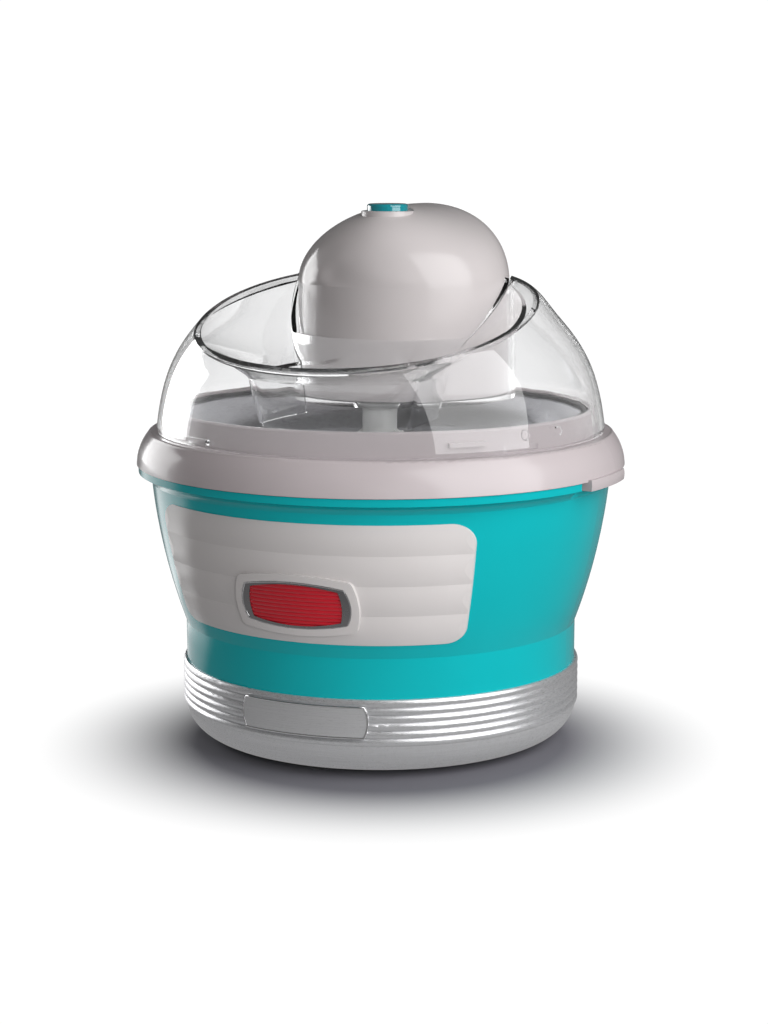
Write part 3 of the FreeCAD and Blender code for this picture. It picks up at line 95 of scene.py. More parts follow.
# %% Helpers that add and join nodes
def add(tree, kind, options=None, **inputs):
    node = tree.nodes.new(kind)
    for name, value in (options or {}).items():
        setattr(node, name, value)
    for name, value in inputs.items():
        node.inputs[name.replace("_", " ")].default_value = value
    return node


def wire(tree, source, output, target, socket):
    tree.links.new(source.outputs[output], target.inputs[socket])


def feed(tree, value, socket):
    """Set the socket to a number, or link another socket to it."""
    if isinstance(value, (int, float)):
        socket.default_value = value
    else:
        tree.links.new(value, socket)


def new_material(name):
    material = bpy.data.materials.new(name)
    material.use_nodes = True
    tree = material.node_tree
    return material, tree, tree.nodes["Principled BSDF"]


print("node helpers: add, wire, feed, new_material")

# %% [markdown]
# ## Noise that sits on the part
#
# No real surface has one even colour and one even gloss. A picture could be wrapped round each
# piece, but that needs an unwrapped mesh. Noise in object coordinates needs none: the node objects
# aren't moved, so these are the part's own metres, and a scale of 100 gives features of about a
# centimetre on every piece alike. Stretching the coordinates along one axis turns the spots into
# streaks.


# %% Noise fields in metres
ALL_WAYS = (1, 1, 1)
ROUND_THE_AXIS = (1, 1, 60)
ROUND_A_SHAFT = (1, 1, 40)
ROUND_THE_COIL = (1, 1, 30)
NOISE_LOW, NOISE_HIGH = 0.3, 0.7


def noise_field(tree, scale, detail, stretch):
    """Noise whose features are about 1 / scale metres wide."""
    place = add(tree, "ShaderNodeTexCoord")
    mapping = add(tree, "ShaderNodeMapping", Scale=stretch)
    wire(tree, place, "Object", mapping, "Vector")
    field = add(tree, "ShaderNodeTexNoise", Scale=scale, Detail=detail, Roughness=0.55)
    wire(tree, mapping, "Vector", field, "Vector")
    return field


def spread(tree, field, low, high):
    """Map the field's usual range to low..high."""
    mapped = add(
        tree, "ShaderNodeMapRange",
        From_Min=NOISE_LOW, From_Max=NOISE_HIGH, To_Min=low, To_Max=high,
    )
    wire(tree, field, "Fac", mapped, "Value")
    return mapped


print(f"noise runs from {NOISE_LOW} to {NOISE_HIGH}")
print(f"a vertical stretch of {ROUND_THE_AXIS[2]} gives rings")

# %% [markdown]
# ## Colour, gloss and grain
#
# Three things vary on a moulded or turned piece: its colour a little, its gloss where hands and
# tools touched it, and a relief of a few hundredths of a millimetre. Each gets a helper that feeds
# one input of the Principled shader, so a finish is a short list of calls. The relief is a bump,
# which bends the light without new faces.


# %% Helpers for one property each
def shaded(colour, factor):
    """Colour made lighter or darker, with the alpha that sockets want."""
    return tuple(min(1.0, channel * factor) for channel in colour) + (1.0,)


def mottled(tree, principled, colour, scale, depth, stretch=ALL_WAYS):
    """Base colour that drifts a little lighter and darker over the surface."""
    share = spread(tree, noise_field(tree, scale, detail=2.0, stretch=stretch), 0.0, 1.0)
    blend = add(tree, "ShaderNodeMix", {"data_type": "RGBA"})
    factor, dark, light = blend.inputs[0], blend.inputs[6], blend.inputs[7]
    dark.default_value = shaded(colour, 1 - depth)
    light.default_value = shaded(colour, 1 + depth)
    tree.links.new(share.outputs["Result"], factor)
    tree.links.new(blend.outputs[2], principled.inputs["Base Color"])


def uneven_gloss(tree, principled, roughness, change, scale, stretch=ALL_WAYS):
    """Roughness that varies as handling and moulding leave it."""
    field = noise_field(tree, scale, detail=4.0, stretch=stretch)
    uneven = spread(tree, field, roughness - change, roughness + change)
    wire(tree, uneven, "Result", principled, "Roughness")


def grain(tree, principled, scale, strength, depth, stretch=ALL_WAYS, detail=2.0):
    """Fine relief on the surface, depth in metres."""
    bump = add(tree, "ShaderNodeBump", Strength=strength, Distance=depth)
    wire(tree, noise_field(tree, scale, detail, stretch), "Fac", bump, "Height")
    wire(tree, bump, "Normal", principled, "Normal")


print("surface helpers: mottled, uneven_gloss, grain")

# %% [markdown]
# ## Gloss plastic
#
# The casing, the panel, the ring, the head and the button are injection moulded in polished steel.
# Such plastic mirrors lamps sharply, but the skin is never quite flat, so the edge of a reflection
# wavers. A low roughness with a slow drift and a trace of relief does that. A thin clear coat over
# it sharpens the highlight again.


# %% Moulded plastic
def moulded(name, colour, roughness, drift, skin, coat=0.0, specular=0.5):
    material, tree, principled = new_material(name)
    mottled(tree, principled, colour, scale=22, depth=drift)
    uneven_gloss(tree, principled, roughness, change=0.25 * roughness, scale=70)
    grain(tree, principled, scale=2600, strength=skin, depth=0.08 * MM)
    principled.inputs["IOR"].default_value = 1.5
    principled.inputs["Specular IOR Level"].default_value = specular
    principled.inputs["Coat Weight"].default_value = coat
    principled.inputs["Coat Roughness"].default_value = 0.04
    return material


print("moulded: colour, gloss, skin and coat of a polished tool")

# %% [markdown]
# ## Matt plastic and rubber
#
# Feet, seals and the parts that nobody sees come out of a spark-eroded tool, which leaves an even
# matt grain. It is the same recipe with more roughness, a coarser relief and no coat.


# %% Textured plastic and rubber
def textured(name, colour, roughness):
    material, tree, principled = new_material(name)
    mottled(tree, principled, colour, scale=120, depth=0.08)
    uneven_gloss(tree, principled, roughness, change=0.08, scale=300)
    grain(tree, principled, scale=1500, strength=0.3, depth=0.15 * MM)
    return material


print("textured: matt grain without a coat")

# %% [markdown]
# ## Metal and metallic paint
#
# The liner is spun, the shafts are ground and the base is sprayed with silver paint. Tool marks
# run round the axis, which an anisotropic shader could fake from tangents. Stretched noise is
# simpler and works on any mesh: it streaks the colour, the gloss and the relief together. Paint
# with metal flakes is only partly metallic.


# %% Metal with tool marks
def metal(name, colour, roughness, stretch, streak, drift=0.05, metallic=1.0):
    material, tree, principled = new_material(name)
    principled.inputs["Metallic"].default_value = metallic
    mottled(tree, principled, colour, scale=40, depth=drift, stretch=stretch)
    uneven_gloss(tree, principled, roughness, change=0.3 * roughness, scale=300, stretch=stretch)
    grain(
        tree, principled, scale=900, strength=streak, depth=0.06 * MM,
        stretch=stretch, detail=5.0,
    )
    return material


print("metal: streaks run across the stretched axis")

# %% [markdown]
# ## Clear plastic
#
# The lid is clear acrylic about two millimetres thick. A transmissive Principled shader bends what
# stands behind it. Light that passes through it onto the bowl would have to be found as a caustic,
# which takes far too many samples. So a shadow ray takes a plain Transparent shader instead: the
# lamps light the inside as if through thin glass. A full coat gives the wall its clear mirror
# highlights.


# %% Acrylic that lets the lamps in
SHADOW_TINT = 0.96


def clear_plastic(name, tint):
    material, tree, principled = new_material(name)
    mottled(tree, principled, tint, scale=15, depth=0.01)
    uneven_gloss(tree, principled, 0.02, change=0.012, scale=60)
    principled.inputs["IOR"].default_value = 1.2
    principled.inputs["Transmission Weight"].default_value = 1.0
    principled.inputs["Coat Weight"].default_value = 1.0
    principled.inputs["Coat Roughness"].default_value = 0.03
    rays = add(tree, "ShaderNodeLightPath")
    open_way = add(tree, "ShaderNodeBsdfTransparent", Color=shaded(tint, SHADOW_TINT))
    either = add(tree, "ShaderNodeMixShader")
    wire(tree, rays, "Is Shadow Ray", either, "Fac")
    tree.links.new(principled.outputs["BSDF"], either.inputs[1])
    tree.links.new(open_way.outputs["BSDF"], either.inputs[2])
    wire(tree, either, "Shader", tree.nodes["Material Output"], "Surface")
    return material


print(f"clear_plastic: a shadow ray keeps {SHADOW_TINT:.0%} of its light at each wall")

# %% [markdown]
# ## Who wears what
#
# A node object has material slots already, so dressing it means putting a material in each slot.
# `dress` does that for every node made of the same stuff, and keeps count, so that the last cell
# can show that none was left bare.


# %% Put a finish on nodes
dressed = []


def dress(material, *names):
    """Put the material in every slot of the named nodes."""
    for name in names:
        for slot in cad_nodes[name].material_slots:
            slot.material = material
        dressed.append(name)
    print(f"{material.name}: {', '.join(names)}")
    return material


print(f"{len(cad_nodes)} nodes to dress")

# %% [markdown]
# ## Casing and base
#
# From the counter up: rubber feet, a black bottom plate with zinc-plated screws, a shell in satin
# silver, and the teal casing with its cream panel. The badge in the panel is red with a dark
# chrome frame, and it stays bare. The teal is deep and saturated, so its red channel is almost
# nothing and its specular level is low.

# %% Finishes of the casing and the base
dress(
    metal("silver_satin", (0.66, 0.66, 0.675), 0.32, ROUND_THE_AXIS, streak=0.12, metallic=0.75),
    "base_shell",
)
dress(textured("black_plate", (0.02, 0.02, 0.022), 0.55), "base_plate")
dress(
    textured("foot_rubber", (0.022, 0.022, 0.022), 0.8),
    "foot_front", "foot_right", "foot_back", "foot_left",
)
teal = moulded(
    "teal_gloss", (0.002, 0.385, 0.415), 0.18, drift=0.02, skin=0.03, coat=0.1, specular=0.25,
)
dress(teal, "outer_casing")
cream = moulded(
    "cream_gloss", (0.605, 0.575, 0.57), 0.18, drift=0.02, skin=0.03, coat=0.1, specular=0.35,
)
dress(cream, "front_panel")
dress(metal("dark_chrome", (0.38, 0.37, 0.38), 0.24, ALL_WAYS, streak=0.03), "badge_frame")
dress(
    moulded("badge_red_gloss", (0.50, 0.006, 0.018), 0.14, drift=0.05, skin=0.03, coat=0.6),
    "badge_insert",
)
dress(
    metal("plate_satin", (0.62, 0.62, 0.63), 0.36, ROUND_THE_AXIS, streak=0.25, metallic=0.6),
    "name_plate",
)
dress(
    metal("zinc_plated", (0.58, 0.57, 0.54), 0.28, ALL_WAYS, streak=0.1, drift=0.12),
    "base_screws", "housing_screws", "plate_screws", "motor_screws",
    "gear_plate", "motor_can", "switch_bracket",
)

# %% [markdown]
# ## Freezer bowl
#
# The bowl is a dark metal liner and a grey plastic shell with coolant sealed between them. Only
# the liner and the ring show. The ring is the same plastic as the panel, but its copy of the cream
# is darker and warmer: painted shade for the less light that falls on it.

# %% Finishes of the freezer bowl
dress(textured("seal_rubber", (0.07, 0.07, 0.072), 0.7), "bowl_seat", "bowl_seal")
# Painted shade: a darker, warmer copy of the panel's cream for the ring.
ring_cream_painted_shade = moulded(
    "ring_cream_painted_shade_gloss", (0.47, 0.42, 0.43), 0.20, drift=0.02, skin=0.03, coat=0.1, specular=0.3,
)
dress(ring_cream_painted_shade, "bowl_ring")
dress(moulded("grey_shell", (0.45, 0.45, 0.46), 0.4, drift=0.03, skin=0.15), "bowl_shell")
dress(metal("liner_satin", (0.36, 0.36, 0.38), 0.32, ROUND_THE_AXIS, streak=0.2), "bowl_liner")
dress(moulded("coolant_gel", (0.35, 0.55, 0.75), 0.3, drift=0.06, skin=0.05), "coolant")
dress(
    textured("black_plastic", (0.015, 0.015, 0.016), 0.45),
    "filling_plug", "switch_case", "cable_gland",
)

# %% [markdown]
# ## Lid and head
#
# The lid is clear, the head is cream and its button is teal and shinier than the casing. The
# head's cream is a darker copy of the panel's, painted shade for the light it gets less of. The
# paddle and the gears are white acetal, a slippery plastic that needs no grease and is never quite
# glossy.

# %% Finishes of the lid and the head
clear = dress(clear_plastic("clear_acrylic", (0.994, 0.996, 1.0)), "lid_dome", "lid_funnel")
# Painted shade: a darker copy of the panel's cream for the head.
head_cream_painted_shade = moulded(
    "head_cream_painted_shade_gloss", (0.51, 0.475, 0.475), 0.18, drift=0.02, skin=0.02, coat=0.1, specular=0.3,
)
dress(head_cream_painted_shade, "motor_housing", "motor_bottom_cover", "button_bezel")
dress(
    moulded("button_teal", (0.006, 0.23, 0.27), 0.12, drift=0.04, skin=0.02, coat=0.8),
    "power_button",
)
dress(
    moulded("white_acetal", (0.72, 0.72, 0.70), 0.38, drift=0.02, skin=0.12),
    "paddle", "lid_bush", "output_gear", "reduction_gear", "switch_plunger", "terminal_block",
)

# %% [markdown]
# ## Inside the head
#
# The drive shows when the parts are taken off or drawn apart. Its metals differ in real life and
# here: ground steel is bright with rings round the shaft, sintered bronze is rough and oily,
# enamelled copper wire is streaked.

# %% Finishes of the drive
dress(
    metal("sintered_bronze", (0.55, 0.34, 0.15), 0.42, ALL_WAYS, streak=0.5, drift=0.15),
    "output_bush", "rotor_bush", "rotor_pinion",
)
ground_steel = dress(
    metal("ground_steel", (0.60, 0.60, 0.61), 0.20, ROUND_A_SHAFT, streak=0.2),
    "output_shaft", "reduction_pin", "rotor_shaft", "button_spring",
)
dress(textured("ferrite", (0.035, 0.035, 0.038), 0.5), "rotor_magnet")
dress(
    metal("enamelled_wire", (0.55, 0.20, 0.07), 0.35, ROUND_THE_COIL, streak=0.8, drift=0.2),
    "motor_coil",
)
dress(moulded("lead_cover", (0.02, 0.03, 0.16), 0.45, drift=0.05, skin=0.1), "inner_leads")
bare = sorted(set(cad_nodes) - set(dressed))
print(f"{len(dressed)} of {len(cad_nodes)} nodes dressed, left bare: {bare}")

# %% [markdown]
# ## From rings to a mesh
#
# Beads and the spring are long thin pieces of one section. Such a piece is a row of rings of
# vertices with faces between neighbouring rings. Blender's curves could do it, but a curve gives
# no say over each ring. `skin` joins the rings in mesh code, and `smooth_piece` turns the result
# into an object.


# %% Faces between rings
def skin(work, rings, closed):
    """Join neighbouring rings with faces, and cap both ends of an open run."""
    count, corners = len(rings), len(rings[0])
    for index in range(count if closed else count - 1):
        near, far = rings[index], rings[(index + 1) % count]
        for k in range(corners):
            j = (k + 1) % corners
            work.faces.new((near[k], near[j], far[j], far[k]))
    if not closed:
        work.faces.new(rings[0])
        work.faces.new(reversed(rings[-1]))


def smooth_piece(name, work):
    """Object made of the finished faces, smooth all over."""
    bmesh.ops.recalc_face_normals(work, faces=work.faces)
    for face in work.faces:
        face.smooth = True
    mesh = bpy.data.meshes.new(name)
    work.to_mesh(mesh)
    work.free()
    piece = bpy.data.objects.new(name, mesh)
    bpy.context.scene.collection.objects.link(piece)
    return piece


print("mesh helpers: skin, smooth_piece")

# %% [markdown]
# ## A bright bead round an edge
#
# The name plate and the badge each have a bright rim under a millimetre wide, finer than the CAD
# solids go. A curve with a bevel could make it. Here a small half-round profile is swept along a
# path, because then its lower side can sink into the surface by an exact amount and no gap shows.

# %% Sweep a half-round profile
HALF_ROUND = [(-1, 0), (-0.8, 0.6), (0, 1), (0.8, 0.6), (1, 0), (0, -0.6)]


def profile_ring(work, point, along, outward, width, height):
    """Vertices of the profile at one point of the path, across its direction."""
    up = (outward - along * outward.dot(along)).normalized()
    side = along.cross(up)
    return [work.verts.new(point + side * a * width / 2 + up * b * height) for a, b in HALF_ROUND]


def bead(name, path, outward, width, height, closed=True):
    """Half-round bead along path; outward points away from the surface at each point."""
    work = bmesh.new()
    count = len(path)
    rings = []
    for index, point in enumerate(path):
        before = path[index - 1] if closed or index else point
        after = path[(index + 1) % count] if closed or index + 1 < count else point
        along = (after - before).normalized()
        rings.append(profile_ring(work, point, along, outward[index], width, height))
    skin(work, rings, closed)
    return smooth_piece(name, work)


def finish_piece(piece, material, body):
    """Give the piece its finish and the body that it rides on."""
    piece.data.materials.append(material)
    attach(piece, body)
    print(f"{piece.name}: {len(piece.data.polygons)} faces on {body}")


print(f"bead: {len(HALF_ROUND)} points round its section")

# %% [markdown]
# ## Outlines on a round body
#
# Plate and badge are flat outlines wrapped on a drum. The outline is drawn in x and z, in
# millimetres, as four sides that may bulge, like a barrel. Then each point is pushed out to the
# drum's radius at its own height. A shrinkwrap modifier could do that too, but the radius is known
# here, so a square root is exact and quicker.


# %% Barrel outline and wrapping
def arc_between(start, end, rise, steps):
    """Points from start towards end, bulging to the right of the way by rise."""
    run = Vector(end) - Vector(start)
    side = Vector((run.y, -run.x)).normalized()
    points = []
    for step in range(steps):
        share = step / steps
        bulge = 4 * share * (1 - share)
        points.append(Vector(start) + run * share + side * rise * bulge)
    return points


def barrel_outline(half_width, bottom, top, end_rise, flat_rise, steps=16):
    """Outline in (x, z), anticlockwise, of a barrel-shaped plate."""
    corners = [(-half_width, bottom), (half_width, bottom), (half_width, top), (-half_width, top)]
    rises = [flat_rise, end_rise, flat_rise, end_rise]
    outline = []
    for side in range(4):
        outline += arc_between(corners[side], corners[(side + 1) % 4], rises[side], steps)
    return outline


def on_drum(outline, radius_at):
    """Outline laid on the front of a drum: places in metres and outward directions."""
    places, outward = [], []
    for x, z in outline:
        y = -math.sqrt(radius_at(z) ** 2 - x**2)
        places.append(Vector((x, y, z)) * MM)
        outward.append(Vector((x, y, 0)).normalized())
    return places, outward


print("outline helpers: arc_between, barrel_outline, on_drum")

# %% [markdown]
# ## Edge of the name plate
#
# A small plate sits on the ribs of the base. Its place for a name stays bare, and a bright turned
# edge makes it read as a separate pressed piece.

# %% Name plate edge
PLATE_EDGE_RADIUS = 99.2
bright_trim = metal("bright_trim", (0.75, 0.75, 0.76), 0.14, ALL_WAYS, streak=0.03)
plate_outline = barrel_outline(half_width=29.6, bottom=21.9, top=36.3, end_rise=1.6, flat_rise=0.0)
places, outward = on_drum(plate_outline, lambda z: PLATE_EDGE_RADIUS)
name_plate_edge = bead("name_plate_edge", places, outward, width=0.9 * MM, height=0.35 * MM)
finish_piece(name_plate_edge, bright_trim, "casing")

# %% [markdown]
# ## Edge of the badge
#
# The badge frame follows the casing, which is a cone that swells a little half way up. The same
# curve gives the radius at each height here, so the bright line lies on the frame all round.

# %% Badge edge
CASING_BOTTOM, CASING_TOP = 58.5, 127.5
CASING_MIDDLE_RADIUS, CASING_HALF_FLARE, CASING_SWELL = 104.1, 7.9, 2.2
BADGE_STANDS_OUT = 2.2


def casing_radius(z):
    """Radius of the casing in millimetres at height z; share runs from -1 to 1 over its height."""
    share = (2 * z - CASING_BOTTOM - CASING_TOP) / (CASING_TOP - CASING_BOTTOM)
    return CASING_MIDDLE_RADIUS + share * CASING_HALF_FLARE + CASING_SWELL * (1 - share * share)


badge_outline = barrel_outline(half_width=24.2, bottom=75.5, top=92.6, end_rise=2.5, flat_rise=2.5)
places, outward = on_drum(badge_outline, lambda z: casing_radius(z) + BADGE_STANDS_OUT)
badge_edge = bead("badge_edge", places, outward, width=0.8 * MM, height=0.4 * MM)
finish_piece(badge_edge, bright_trim, "casing")

# %% [markdown]
# ## Marks on the lid's skirt
#
# Two raised marks are moulded into the clear skirt: a ring where the lid is open, and a hook where
# it is locked. They are drawn round their own centre in millimetres and laid on the skirt by angle
# and height. They are beads too, in the lid's own plastic, so they show only by the light that
# they catch.

# %% Skirt marks
UP = Vector((0, 0, 1))
SKIRT_RADIUS, SKIRT_TURNS_IN_AT = 109.3, 154.1
SKIRT_TURNS_IN_BY, TURN_HEIGHT, TURN_POWER = 2.1, 13.0, 1.4
MARK_HEIGHT, MARK_STANDS_OFF = 160, 0.02
MARK_BEAD = {"width": 0.7 * MM, "height": 0.3 * MM}
OPEN_MARK_DEGREES, LOCK_MARK_DEGREES = -31.2, -19.3


def on_skirt(centre_degrees, outline):
    """Small outline laid on the dome's skirt: places in metres and outward directions."""
    places, outward = [], []
    for across, rise in outline:
        z = MARK_HEIGHT + rise
        turn_share = max(0.0, (z - SKIRT_TURNS_IN_AT) / TURN_HEIGHT)
        radius = SKIRT_RADIUS - SKIRT_TURNS_IN_BY * turn_share**TURN_POWER + MARK_STANDS_OFF
        angle = math.radians(centre_degrees) + across / radius
        direction = Vector((math.cos(angle), math.sin(angle), 0))
        places.append((direction * radius + UP * z) * MM)
        outward.append(direction)
    return places, outward


def circle_outline(radius, start, end, steps):
    """Points of a circle from start towards end, in degrees."""
    angles = [math.radians(start + (end - start) * step / steps) for step in range(steps)]
    return [(radius * math.cos(angle), radius * math.sin(angle)) for angle in angles]


ring = circle_outline(radius=2.2, start=0, end=360, steps=28)
ring_mark = bead("skirt_mark_open", *on_skirt(OPEN_MARK_DEGREES, ring), **MARK_BEAD)
finish_piece(ring_mark, clear, "lid")
hook = [(-3.0, 1.6), (-1.5, 1.7)] + circle_outline(radius=1.9, start=90, end=-110, steps=16)
hook_mark = bead("skirt_mark_lock", *on_skirt(LOCK_MARK_DEGREES, hook), **MARK_BEAD, closed=False)
finish_piece(hook_mark, clear, "lid")

# %% [markdown]
# ## The spring under the button
#
# A coil spring pushes the button up. The CAD spring is a rigid solid at its relaxed length, so the
# button would sink into it. A Screw modifier could make a new one, but its ends stay open. Here a
# circle is carried up a helix in mesh code and capped. The new spring stands for the CAD one, which
# is hidden.

# %% Button spring
WIRE_RADIUS, COIL_RADIUS, COIL_TURNS = 0.4, 5.5, 4
SPRING_FOOT, SPRING_TOP = 251.25, 257.5
BUTTON_MIDDLE, BUTTON_TRAVEL = 9.0, 2.5
STEPS_A_TURN, WIRE_SIDES = 48, 12
SPRING_RISE = SPRING_TOP - SPRING_FOOT


def coil_ring(work, share):
    """Vertices round the wire at a share of its way up."""
    angle = 2 * math.pi * COIL_TURNS * share
    radial = Vector((math.cos(angle), math.sin(angle), 0))
    middle = radial * COIL_RADIUS + Vector((0, BUTTON_MIDDLE, SPRING_FOOT + SPRING_RISE * share))
    turned = UP.cross(radial) * 2 * math.pi * COIL_TURNS * COIL_RADIUS
    across = (turned + UP * SPRING_RISE).normalized().cross(radial)
    ways = [2 * math.pi * side / WIRE_SIDES for side in range(WIRE_SIDES)]
    rim = [radial * math.cos(way) + across * math.sin(way) for way in ways]
    return [work.verts.new((middle + out * WIRE_RADIUS) * MM) for out in rim]


coil_work = bmesh.new()
coil_steps = COIL_TURNS * STEPS_A_TURN
coil_rings = [coil_ring(coil_work, step / coil_steps) for step in range(coil_steps + 1)]
skin(coil_work, coil_rings, closed=False)
button_coil = smooth_piece("button_coil", coil_work)
finish_piece(button_coil, ground_steel, "motor_unit")
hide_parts("button_spring")
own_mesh(button_coil)

# %% [markdown]
# ## Where the camera stands
#
# The stage is described as in a studio: so far to the right of the camera, so far from the
# object, so high. `from_camera_side` turns that into a place, so lamps can be set without working
# out coordinates by hand.

# %% Places named from the camera
CAMERA_AZIMUTH = 21.8
CAMERA_PITCH = 9.83
CAMERA_DISTANCE = 1.0719
CAMERA_HEIGHT = 0.2955


def from_camera_side(degrees_right, distance, height):
    """Place at an angle to the right of the camera, as seen from the object."""
    angle = math.radians(CAMERA_AZIMUTH + degrees_right)
    return Vector((math.sin(angle) * distance, -math.cos(angle) * distance, height))


camera_place = from_camera_side(0, CAMERA_DISTANCE, CAMERA_HEIGHT)
print(f"camera stands at {tuple(round(part, 3) for part in camera_place)}")

# %% [markdown]
# ## A backdrop with several faces
#
# In a studio the paper is white because strong lamps stand behind it, and black flags keep that
# light off the object. Blender can do this with one surface: the Light Path node tells what kind
# of ray arrives. The eye, also through clear plastic, gets white. A mirror gets a dim room with
# one bright strip at the far left, which draws the long highlight on metal and gloss. Any other
# ray gets a weak light, so white paper doesn't wash out the colours. A ray that comes from a matt
# surface through the lid counts as light too.

# %% What the eye and a mirror see of the backdrop
STRIP_DEGREES = -125
STRIP_STARTS, STRIP_IS_FULL = 0.90, 0.97


def chain(tree, operation, first, second):
    """Math node on two values, each a socket or a number."""
    node = add(tree, "ShaderNodeMath", {"operation": operation})
    feed(tree, first, node.inputs[0])
    feed(tree, second, node.inputs[1])
    return node.outputs["Value"]


def before_matt(tree, rays, kind):
    """1 for rays of a kind that have met no matt surface: they show the backdrop, not light."""
    no_matt_surface = chain(tree, "LESS_THAN", rays["Diffuse Depth"], 0.5)
    return chain(tree, "MULTIPLY", rays[kind], no_matt_surface)


def seen_as_white(tree, rays):
    """1 for camera rays and for rays on their way from the camera through clear plastic."""
    through_plastic = before_matt(tree, rays, "Is Transmission Ray")
    return chain(tree, "MAXIMUM", rays["Is Camera Ray"], through_plastic)


def mirrored(tree, coordinates, dim, bright):
    """Strength in a mirror: dim all round, bright where the strip stands."""
    place = add(tree, "ShaderNodeTexCoord")
    towards = add(tree, "ShaderNodeVectorMath", {"operation": "NORMALIZE"})
    wire(tree, place, coordinates, towards, 0)
    leftness = add(tree, "ShaderNodeVectorMath", {"operation": "DOT_PRODUCT"})
    leftness.inputs[1].default_value = from_camera_side(STRIP_DEGREES, 1, 0)
    wire(tree, towards, "Vector", leftness, 0)
    ramp = add(
        tree, "ShaderNodeMapRange", {"interpolation_type": "SMOOTHSTEP"},
        From_Min=STRIP_STARTS, From_Max=STRIP_IS_FULL,
    )
    wire(tree, leftness, "Value", ramp, "Value")
    feed(tree, dim, ramp.inputs["To Min"])
    feed(tree, bright, ramp.inputs["To Max"])
    return ramp.outputs["Result"]


print(f"the bright strip stands {-STRIP_DEGREES} degrees to the left of the camera")

# %% [markdown]
# ## One strength for every ray
#
# The three answers are joined by two ramps that work as switches: the first picks between light
# and mirror, the second puts white over both. The floor uses the result as emission and the world
# as its background.


# %% The backdrop's shader
WHITE = 1.04


def lit_backdrop(tree, shader_kind, lights, in_a_mirror):
    """Shader node that is white to the eye; lights and in_a_mirror are numbers or sockets."""
    rays = add(tree, "ShaderNodeLightPath").outputs
    indirect = add(tree, "ShaderNodeMapRange")
    feed(tree, lights, indirect.inputs["To Min"])
    feed(tree, in_a_mirror, indirect.inputs["To Max"])
    tree.links.new(before_matt(tree, rays, "Is Glossy Ray"), indirect.inputs["Value"])
    final = add(tree, "ShaderNodeMapRange", To_Max=WHITE)
    wire(tree, indirect, "Result", final, "To Min")
    tree.links.new(seen_as_white(tree, rays), final.inputs["Value"])
    backdrop = add(tree, shader_kind, Color=(1, 1, 1, 1))
    wire(tree, final, "Result", backdrop, "Strength")
    return backdrop


print(f"the eye sees the backdrop at a strength of {WHITE}")

# %% [markdown]
# ## The floor
# The object stands on pale paper. One large square is enough, because its far edge is white
# against a white world and can't be seen. The paper itself is dark grey and matt: it is the colour
# of the painted shadow round the foot, and there it also takes the object's shadow from the lamps.

# %% Floor of paper
FLOOR_REACH = 6
corners = [(-1, -1), (1, -1), (1, 1), (-1, 1)]
floor_mesh = bpy.data.meshes.new("floor")
floor_places = [(x * FLOOR_REACH, y * FLOOR_REACH, 0) for x, y in corners]
floor_mesh.from_pydata(floor_places, [], [(0, 1, 2, 3)])
floor = bpy.data.objects.new("floor", floor_mesh)
bpy.context.scene.collection.objects.link(floor)
floor_material, floor_tree, floor_shader = new_material("floor_paper")
# Painted shadow: this dark grey is the halo's colour where the glow is faded out round the foot.
mottled(floor_tree, floor_shader, (0.17, 0.168, 0.19), scale=3, depth=0.01)
uneven_gloss(floor_tree, floor_shader, 0.55, change=0.05, scale=10)
floor_shader.inputs["Specular IOR Level"].default_value = 0.2
floor_mesh.materials.append(floor_material)
floor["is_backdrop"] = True
print(f"floor: {2 * FLOOR_REACH} m square")

# %% [markdown]
# ## The glow of the floor and its painted shadow
#
# The paper glows from below, as on a light table. Round the foot that glow is faded out by the
# distance from the middle alone, so the grey paper shows there: a painted shadow, a soft dark halo
# round the foot. A quarter of a sine wave runs from paper to glow. Further out the glow gives less
# light, so that it doesn't shine up at the casing from all sides. A mirror sees the glow everywhere,
# also in the painted shadow, so the curved silver foot stays as light as on a white table.

# %% Values by distance from the middle
# The painted shadow round the foot is centred a little in front of the axis.
PAINTED_SHADOW_IN_FRONT = 0.018
painted_shadow_middle = from_camera_side(0, PAINTED_SHADOW_IN_FRONT, 0)
floor_place = add(floor_tree, "ShaderNodeTexCoord")
distance = add(floor_tree, "ShaderNodeVectorMath", {"operation": "DISTANCE"})
distance.inputs[1].default_value = painted_shadow_middle
wire(floor_tree, floor_place, "Object", distance, 0)


def by_distance(near, far, value_near, value_far):
    """Value that runs from one number to another between two distances, in metres."""
    ramp = add(
        floor_tree, "ShaderNodeMapRange",
        From_Min=near, From_Max=far, To_Min=value_near, To_Max=value_far,
    )
    wire(floor_tree, distance, "Value", ramp, "Value")
    return ramp.outputs["Result"]


print(f"halo stands {PAINTED_SHADOW_IN_FRONT / MM:.0f} mm in front of the axis")

# %% Painted shadow and glow
# Painted shadow: by distance alone, the glow fades out round the foot and leaves the dark paper.
PAINTED_SHADOW_STARTS, PAINTED_SHADOW_ENDS, PAINTED_SHADOW_POWER = 0.090, 0.182, 1.2
quarter_wave = by_distance(PAINTED_SHADOW_STARTS, PAINTED_SHADOW_ENDS, 0.0, math.pi / 2)
glow_share = chain(floor_tree, "POWER", chain(floor_tree, "SINE", quarter_wave, 0), PAINTED_SHADOW_POWER)
glow_lights = by_distance(near=0.28, far=0.50, value_near=0.40, value_far=0.04)
dim_on_floor = by_distance(near=0.11, far=0.19, value_near=0.40, value_far=0.20)
strip_on_floor = by_distance(near=0.27, far=0.33, value_near=0.9, value_far=1.9)
in_a_mirror = mirrored(floor_tree, "Object", dim_on_floor, strip_on_floor)
glow = lit_backdrop(floor_tree, "ShaderNodeEmission", glow_lights, in_a_mirror)
floor_rays = add(floor_tree, "ShaderNodeLightPath").outputs
reflected = before_matt(floor_tree, floor_rays, "Is Glossy Ray")
paper = add(floor_tree, "ShaderNodeMixShader")
